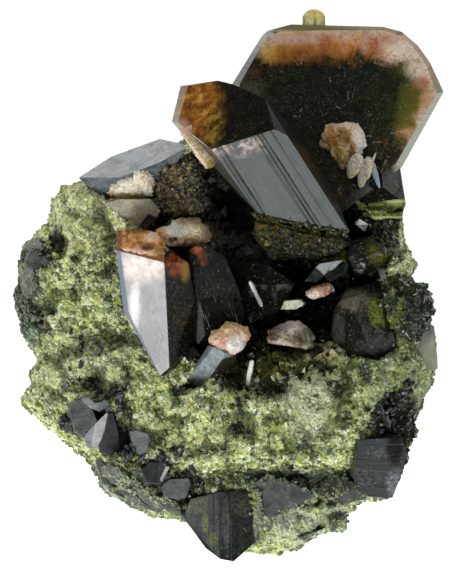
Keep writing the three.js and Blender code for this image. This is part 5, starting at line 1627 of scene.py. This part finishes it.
    def petals(self):
        """Six blades under the shell. Each has its foot, tip, width, thickness, facing and bend."""
        blades = [blade(*given) for given in (
            ((10.7, 10.9, 13.2), (9.8, 8.9, 13.3), 1.15, 0.4, (0, 0, 1), 0.15),
            ((11.2, 10.5, 13.0), (10.7, 8.1, 13.0), 0.95, 0.4, (0.2, 0, 1), 0.12),
            ((11.4, 10.7, 13.1), (11.3, 8.8, 13.2), 0.7, 0.35, (0.1, 0, 1), 0.12),
            ((11.7, 10.3, 12.8), (12.3, 8.1, 12.9), 0.5, 0.35, (-0.3, 0, 1), 0.15),
            ((11.6, 10.0, 13.0), (12.0, 11.0, 13.3), 0.2, 0.2, (0, 0, 1)),
            ((10.2, 10.2, 13.0), (9.6, 9.8, 13.2), 0.4, 0.3, (0, 0, 1)))]
        cream = tip_finish("petal_finish", (0.6, 0.52, 0.34), (0.9, 0.86, 0.74), [
            (12.15, 9.0, 0.35, 1.3, (0.34, 0.44, 0.54)), (10.1, 9.3, 0.4, 0.5, (0.74, 0.7, 0.42)),
            (11.9, 10.5, 0.3, 0.4, (0.8, 0.6, 0.62))], 0.24)
        piece = put_skins("tip_petals", [(rings, {}) for rings in blades])
        finish_piece(piece, cream, "cream_crystal", "tip_cluster")

    def brown_crystal(self):
        """The brown crystal, and fine grains on it that turn dark towards the right"""
        rings = knobbed([
            ((-3.6, 8.4, 11.0), (2.6, 2.4, 1.8)), ((-4.5, 9.8, 11.2), (1.6, 1.4, 1.7)),
            ((-2.6, 10.2, 11.3), (1.4, 1.5, 1.9)), ((-3.6, 6.9, 10.6), (2.7, 1.6, 1.6)),
            ((-1.9, 7.6, 11.0), (1.2, 2.0, 1.5)), ((-5.2, 8.0, 10.6), (1.3, 1.5, 1.4)),
            ((-5.0, 6.6, 10.4), (1.5, 1.0, 1.3))], 18, 0.16, wrinkle=0.14, seed=65, grid=FINE_GRID)
        skin = put_skin("brown_crystal_grown", rings)
        finish_piece(skin, brown_finish(), "brown_crystal", "brown_crystal")
        tones_and_shading = ease((rings[..., 0] + 3.6) / 2.2)
        places, _, tones_and_shading, dice = pick_on(rings, 1500, 66, np.ones(tones_and_shading.shape), tones_and_shading)
        grains = put_grains("brown_grains", places, 0.09 + 0.16 * dice.random(len(places)) ** 2, dice, tones_and_shading)
        look = grain_finish("brown_grains_finish", (0.012, 0.01, 0.006), (0.3, 0.25, 0.15), 0.25,
                            (0.02, 0.018, 0.012))
        finish_piece(grains, look, "brown_crystal")

    def round_crystal(self):
        """The glassy brown crystal: five knobs cut by many faces"""
        glassy = tip_finish("round_finish", (0.09, 0.085, 0.05), (0.52, 0.47, 0.34), [
            # The pale patches stand partly for painted highlights
            (5.4, -3.0, 1.3, 0.4, (0.8, 0.7, 0.62)), (6.9, -3.3, 0.7, 0.7, (0.16, 0.17, 0.1)),
            (4.4, -4.6, 0.9, 0.35, (0.66, 0.52, 0.42)), (6.8, -4.9, 0.6, 0.4, (0.7, 0.68, 0.42)),
            (5.7, -4.2, 0.7, 0.4, (0.17, 0.12, 0.07)), (3.6, -3.9, 0.5, 0.3, (0.16, 0.11, 0.07))], 0.16)
        round_end("round_crystal_grown", glassy, "brown_crystal", "round_crystal", [
            ((5.1, -3.9, 9.8), (2.3, 1.5, 2.1)), ((6.3, -3.6, 9.7), (1.2, 1.1, 1.7)),
            ((3.7, -4.4, 9.4), (1.1, 0.8, 1.6)), ((6.5, -4.8, 9.6), (0.9, 0.6, 1.2)),
            ((5.3, -3.1, 9.7), (1.3, 0.9, 2.0))], facets=24, cut=0.3, wrinkle_size=1.0, seed=72)

    def pink_crystal(self):
        """The small pink crystal: three knobs cut by ten faces"""
        waxy = tip_finish("pink_finish", (0.36, 0.17, 0.08), (0.8, 0.56, 0.4), [
            (6.9, -0.6, 0.5, 0.5, (0.86, 0.72, 0.56))])
        round_end("pink_crystal_grown", waxy, "cream_crystal", "pink_crystal", [
            ((7.5, -0.2, 10.8), (1.0, 0.6, 0.9)), ((6.8, -0.5, 10.7), (0.7, 0.5, 0.8)),
            ((8.1, 0.1, 10.7), (0.6, 0.5, 0.8))], facets=10, grid=(60, 90), wrinkle_size=0.5, seed=39)

    def rods(self):
        """The cream rod and the two needles"""
        slim = sweep([(-3.4, 13.0, 14.2), (-2.35, 11.4, 14.95), (-1.15, 9.8, 15.0)], 1.15, 0.9,
                     wander=0.25, seed=91)
        cream = tip_finish("slim_finish", (0.6, 0.42, 0.22), (0.92, 0.8, 0.6), [
            (-1.2, 9.9, 0.5, 0.45, (0.42, 0.32, 0.06)), (-3.2, 12.7, 0.5, 0.5, (0.66, 0.4, 0.3))], 0.28)
        finish_piece(put_skin("slim_crystal_grown", slim), cream, "cream_crystal", "slim_crystal")
        white = needle_finish()
        for node, tip, foot, width in (
                ("needle_upper", (1.8, 0.6, 11.6), (2.8, -1.5, 9.6), 0.32),
                ("needle_lower", (2, -5.8, 11.6), (1.6, -7.9, 9.0), 0.42)):
            rod = sweep([foot, tip], width, width * 0.8, rows=24, around=8, square=0.8, wander=0.1)
            finish_piece(put_skin(node + "_grown", rod), white, "needle", node)


# Groups of small steep dark prisms: middle, spread, number, the way they lean and their length
PRISM_GROUPS = [
    (-11.8, -7.4, 1.2, 14, (0.3, 0.5, 1), 1.0), (-8.9, -9.0, 0.7, 18, (-0.2, 0.6, 1), 1.2),
    (-8.0, -13.4, 0.6, 20, (0.2, 0.6, 1), 1.1), (-5.4, -14.0, 0.9, 26, (-0.3, 0.4, 1), 1.0),
    (-3.2, -15.6, 0.7, 20, (0, 0.5, 1), 1.0), (12.8, -10.2, 1.3, 46, (0.3, -0.2, 1), 1.0),
    (14.6, -8.2, 0.9, 20, (0.4, 0, 1), 0.8), (-14.8, 3.4, 0.9, 14, (-0.5, 0.2, 1), 0.8),
    (-15.8, -2.0, 0.8, 12, (-0.5, 0, 1), 0.8), (1.4, -8.2, 1.0, 16, (0, -0.5, 1), 0.8),
    (10.6, 3.6, 1.4, 24, (0.3, 0.3, 1), 0.9), (7.6, -6.6, 1.4, 20, (0.2, -0.3, 1), 0.7),
    (-10.6, -4.6, 1.6, 14, (0, 0.3, 1), 0.7), (-12.9, -10.8, 0.6, 12, (-0.3, 0.3, 1), 0.9),
    (5.4, -15.0, 1.2, 18, (0.3, 0.3, 1), 0.8),
]


def in_ellipse(dice, count, x, y, rx, ry):
    """Places spread evenly in an ellipse, and their share of the way from its middle to its edge"""
    angle, reach = dice.random(count) * 2 * np.pi, np.sqrt(dice.random(count))
    return x + rx * reach * np.cos(angle), y + ry * reach * np.sin(angle), reach


def round_spots(dice, count, spots, spread):
    """Places scattered round spots that are picked by chance"""
    return np.array(spots)[dice.integers(0, len(spots), count)] + dice.normal(0, spread, (count, 2))


class CLUSTER_OT_crust(bpy.types.Operator):
    """Grows the small crystals of the hollow, the edges and the lower parts, and the overgrowth"""

    bl_idname = "cluster.crust"
    bl_label = "Small crystals"

    def execute(self, context):
        settings = plain_settings(context.scene)
        dice = np.random.default_rng(41)
        self.hollow(settings, dice)
        self.clump(settings, dice)
        self.small_prisms(settings, dice)
        self.overgrowth(settings, dice)
        self.yellow_shards(settings, dice)
        self.olive_grains(dice)
        self.glassy_rims()
        self.flat_faces(settings)
        return {"FINISHED"}

    def hollow(self, settings, dice):
        """A crust on the floor and the walls of the hollow"""
        count = 1100
        x, y, reach = in_ellipse(dice, count, HOLLOW.x, HOLLOW.y, HOLLOW.rx, HOLLOW.ry)
        z = front_height(settings, x, y, 0.3 * np.ones(count)) - 0.2
        places = np.stack([x, y, z + 0.3 * dice.random(count)], axis=-1)
        crust = put_grains("hollow_crust", places, 0.35 + 0.55 * dice.random(count) ** 2, dice, reach, 1.7)
        black = dark_finish("crust_finish", settings, (0, 1, 0), roughness=0.15, tints=[
            (0.4, 4.4, 3.4, 3.8, (0.15, 0.14, 0.1)), (9.6, 2.6, 2.6, 1.2, (0.2, 0.22, 0.03)),
            (3.2, -6.0, 3.0, 1.0, (0.12, 0.13, 0.03))])
        finish_piece(crust, black, "dark_crystal")

    def clump(self, settings, dice):
        """Black glassy grains on a crumpled base"""
        spots = round_spots(dice, 700, [
            (14.2, 0.0), (15.3, -0.6), (14.6, -1.5), (15.6, -1.6), (13.9, -2.6), (15.0, -2.8)], 0.5)
        x, y = spots[over("black_grains", *spots.T, 0.05)].T
        sizes = 0.25 + 0.35 * dice.random(len(x))
        places = np.column_stack([x, y, top_of("black_grains", x, y) - 0.3 * sizes])
        grains = put_grains("black_grains_grown", places, sizes, dice, np.zeros(len(x)), 1.2)
        glassy = dark_finish("clump_finish", settings, (0, 1, 0), roughness=0.08, slate=0.1, tints=[
            # The yellow green patch at 13.5, -1.5 is a painted highlight
            (14.9, -1.4, 2.4, 2.4, (0.06, 0.085, 0.055)), (13.5, -1.5, 0.8, 1.6, (0.24, 0.3, 0.07))])
        finish_piece(grains, glassy, "dark_crystal", "black_grains")
        grow(settings, "black_grains", glassy, "dark_crystal", "black_grains_base", crumple=(0.4, 0.8, 0.2))

    def small_prisms(self, settings, dice):
        """Small steep dark prisms in groups, each scattered round the middle of its group"""
        places, ways, lengths = [], [], []
        for x, y, spread, count, lean, tall in PRISM_GROUPS:
            spot = np.array([x, y]) + dice.normal(0, spread * 0.6, (count, 2))
            share = rim_share(spot)
            held = share < 0.92
            places.append(np.column_stack([spot, front_height(settings, *spot.T, share) - 0.4])[held])
            ways.append((np.array(lean) + dice.normal(0, 0.35, (count, 3)))[held])
            lengths.append((tall * (0.4 + 0.8 * dice.random(count)))[held])
        places, ways, lengths = map(np.concatenate, (places, ways, lengths))
        ways[:, 2] = np.abs(ways[:, 2])
        widths = lengths * (0.35 + 0.3 * dice.random(len(lengths)))
        piece = put_splinters("small_prisms", places, ways, lengths, widths, dice)
        grey = slate_finish("small_prism_finish", settings, (0, 1, 0), 0.45, 0.22)
        finish_piece(piece, grey, "dark_crystal")

    def overgrowth(self, settings, dice):
        """Grains that grow over the edges of the tabular crystal's lower side, of the rib crystal and of
        the rock's flat faces"""
        t = dice.random((300, 1))
        low_edge = (1 - t) * np.array([2.3, 6.1, 14.9]) + t * np.array([9.5, 4.7, 16.4])
        places = [low_edge + dice.normal(0, 0.14, (300, 3))]
        for node, rings, _ in facet_rings(settings):
            if node in ("", "rib_crystal"):
                places.append(along_edges(np.roll(rings[2], -1, axis=0), rings[2], 12, dice))
        places = np.vstack(places)
        places[:, :2] += dice.normal(0, 0.13, (len(places), 2))
        places[:, 2] -= 0.08
        places = places[(rim_share(places) < 0.93) & (places[:, 2] > 1)]
        sizes = 0.1 + 0.16 * dice.random(len(places)) ** 2
        piece = put_grains("overgrowth", places, sizes, dice, darkness_and_shade(places))
        look = grain_finish("overgrowth_finish", (0.06, 0.08, 0.03), (0.46, 0.5, 0.18), 0.3,
                            (0.03, 0.035, 0.012))
        finish_piece(piece, look, "rock")

    def yellow_shards(self, settings, dice):
        """Glassy shards scattered round six spots under the round crystal"""
        count = 260
        spots = round_spots(dice, count, [
            (5.2, -5.6), (4.2, -5.3), (6.4, -5.6), (7.6, -4.9), (8.2, -5.4), (3.4, -6.2)], 0.42)
        places = np.column_stack([spots, front_height(settings, *spots.T, rim_share(spots)) - 0.1])
        sizes = 0.22 + 0.3 * dice.random(count) ** 2
        shards = put_grains("yellow_shards", places, sizes, dice, np.zeros(count), 1.6)
        look = grain_finish("shard_finish", (0.16, 0.17, 0.03), (0.8, 0.78, 0.42), 0.14,
                            (0.03, 0.035, 0.012))
        finish_piece(shards, look, "rock")

    def olive_grains(self, dice):
        """Grains on the olive crystal: scattered in an ellipse on its face that tilts to the right"""
        x, y, _ = in_ellipse(dice, 900, 6.1, 4.1, 3.5, 1.3)
        y = y - 0.12 * (x - 6.1)
        held = over("olive_crystal", x, y)
        x, y = x[held], y[held]
        places = np.column_stack([x, y, top_of("olive_crystal", x, y) - 0.36])
        sizes = 0.08 + 0.2 * dice.random(len(places)) ** 2
        piece = put_grains("olive_grains", places, sizes, dice, 0.3 + 0.7 * dice.random(len(places)))
        look = grain_finish("olive_grain_finish", (0.012, 0.012, 0.005), (0.12, 0.105, 0.03), 0.5,
                            (0.008, 0.008, 0.005))
        finish_piece(piece, look, "dark_crystal")

    def glassy_rims(self):
        """Yellow green glassy edges: four on the block crystal, and two low ones on the right. Each
        has its path and its width."""
        lines = [
            ([(10.0, 7.8), (10.5, 6.9), (11.3, 6.5)], 0.4), ([(10.5, 6.7), (11.6, 6.3), (12.9, 6.2)], 0.4),
            ([(11.3, 6.5), (12.8, 6.7), (14.4, 7.0)], 0.95), ([(10.9, 6.0), (12.3, 5.9), (14.2, 6.0)], 0.6),
            ([(12.4, 2.9), (13.4, 3.2), (14.6, 3.0)], 0.4), ([(12.8, 2.2), (13.8, 2.0)], 0.3),
        ]
        rods = []
        for i, (path, width) in enumerate(lines):
            flat = np.array(path)
            on_block = np.clip(top_of("block_crystal", *flat.T) + 0.1, 9.6, 12.6)
            height = on_block if i < 4 else np.full(len(flat), 10.2)
            rods.append(sweep(np.column_stack([flat, height]), width, 0.5, rows=50, around=14,
                              square=0.9, wander=0.35, seed=100 + i))
        glassy = tip_finish("glassy_rim_finish", (0.06, 0.07, 0.012), (0.36, 0.4, 0.1), [
            (12.6, 6.45, 2.0, 0.22, (0.03, 0.036, 0.008)), (13.6, 7.05, 1.0, 0.14, (0.66, 0.68, 0.34)),
            (10.1, 7.4, 0.4, 0.5, (0.75, 0.76, 0.4)), (12.6, 5.75, 1.4, 0.12, (0.5, 0.52, 0.2))], 0.12)
        piece = put_skins("block_rims", [(rings, {}) for rings in rods])
        finish_piece(piece, glassy, "dark_crystal", "block_crystal")

    def flat_faces(self, settings):
        """The small flat-faced crystals: a piece for each node, and one for those of the rock"""
        clean, mossy = facet_finish("facet_finish", 0.1), facet_finish("rock_face_finish", 0.9)
        looks = {"": mossy, "shadow_crystal": facet_finish("shadow_finish", 0.5, (1.35, 1.15, 0.8))}
        stubs = facet_rings(settings)
        for node in FACETS:
            held = [(rings, values) for owner, rings, values in stubs if owner == node]
            piece = put_skins(f"{node or 'rock_faces'}_grown", held, smooth=False)
            finish_piece(piece, looks.get(node, clean), "slate_crystal", *([node] if node else []))


class CLUSTER_OT_stage(bpy.types.Operator):
    """Sets the pale floor, the soft boxes and the camera that looks straight down"""

    bl_idname = "cluster.stage"
    bl_label = "Floor, light and camera"

    def execute(self, context):
        settings = plain_settings(context.scene)
        self.floor(settings)
        self.soft_box("key_box", (-130, -215, 165), 160, settings.key_glow)
        for name, place, size in (("left_box", (-200, 120, 160), 120), ("right_box", (200, -100, 160), 140),
                                  ("upper_box", (100, 240, 160), 140)):
            self.soft_box(name, place, size, settings.fill_glow)
        world = bpy.data.worlds.new("studio")
        world.use_nodes = True
        background = world.node_tree.nodes["Background"].inputs
        background["Color"].default_value = (1, 1, 1, 1)
        background["Strength"].default_value = 0.06
        context.scene.world = world
        context.scene.view_settings.view_transform = "Standard"
        context.scene.view_settings.look = "None"
        self.camera(context, settings)
        return {"FINISHED"}

    def floor(self, settings):
        """A square of glowing paper"""
        half = 1500
        corners = np.array([(-half, -half, 0), (half, -half, 0), (half, half, 0), (-half, half, 0)])
        floor = put_mesh("floor", corners, quads=[(0, 1, 2, 3)])
        paper = Finish("pale_floor", 0.8, 1.4, Emission_Color=(1, 1, 0.99, 1),
                       Emission_Strength=settings.floor_glow)
        base = paper.mix(paper.cloudy(3.0, 4.0), (0.88, 0.88, 0.87), (0.93, 0.93, 0.92))
        floor.data.materials.append(paper.done(base))

    def soft_box(self, name, place, size, glow):
        """A square light that faces the crystals; its power follows from its brightness and its area"""
        data = bpy.data.lights.new(name, "AREA")
        data.shape = "SQUARE"
        data.size = size * MM
        data.energy = glow * np.pi * data.size ** 2
        lamp = bpy.data.objects.new(name, data)
        lamp.location = Vector(place) * MM
        aim = Vector((0.0, 0.0, 10 * MM)) - lamp.location
        lamp.rotation_mode = "QUATERNION"
        lamp.rotation_quaternion = aim.to_track_quat("-Z", "Y")
        lamp.visible_camera = False
        bpy.context.scene.collection.objects.link(lamp)

    def camera(self, context, settings):
        """One pixel of the 452 by 576 picture is 0.081 mm at the height of the crystals' faces"""
        pixel, tall, crystal_level = 0.081, 576, 11
        data = bpy.data.cameras.new("camera")
        data.sensor_width = 36
        data.lens = data.sensor_width * settings.camera_height / (tall * pixel)
        data.clip_start, data.clip_end = 0.1, 10
        camera = bpy.data.objects.new("camera", data)
        camera.location = Vector((-1.5 * pixel, 0.5 * pixel, crystal_level + settings.camera_height)) * MM
        context.scene.collection.objects.link(camera)
        context.scene.camera = camera


OPERATORS = (
    CLUSTER_OT_stage, CLUSTER_OT_rock, CLUSTER_OT_plate, CLUSTER_OT_crystals, CLUSTER_OT_tips,
    CLUSTER_OT_crust,
)


class CLUSTER_PT_panel(bpy.types.Panel):
    """Lists the settings and the steps"""

    bl_label = "Crystal cluster"
    bl_idname = "CLUSTER_PT_panel"
    bl_space_type = "VIEW_3D"
    bl_region_type = "UI"
    bl_category = "Crystal cluster"

    def draw(self, context):
        for operator in OPERATORS:
            self.layout.operator(operator.bl_idname)
        for holder in SETTINGS:
            group = getattr(context.scene, holder)
            for name in setting_names(group):
                self.layout.prop(group, name)


CLASSES = (*SETTINGS.values(), *OPERATORS, CLUSTER_PT_panel)


def register():
    for kind in CLASSES:
        bpy.utils.register_class(kind)
    for name, group in SETTINGS.items():
        setattr(bpy.types.Scene, name, PointerProperty(type=group))


def unregister():
    for name in SETTINGS:
        delattr(bpy.types.Scene, name)
    for kind in reversed(CLASSES):
        bpy.utils.unregister_class(kind)


def main():
    register()
    bpy.ops.cluster.stage()
    bpy.ops.cluster.rock()
    bpy.ops.cluster.plate()
    bpy.ops.cluster.crystals()
    bpy.ops.cluster.tips()
    bpy.ops.cluster.crust()


if __name__ == "__main__":
    main()
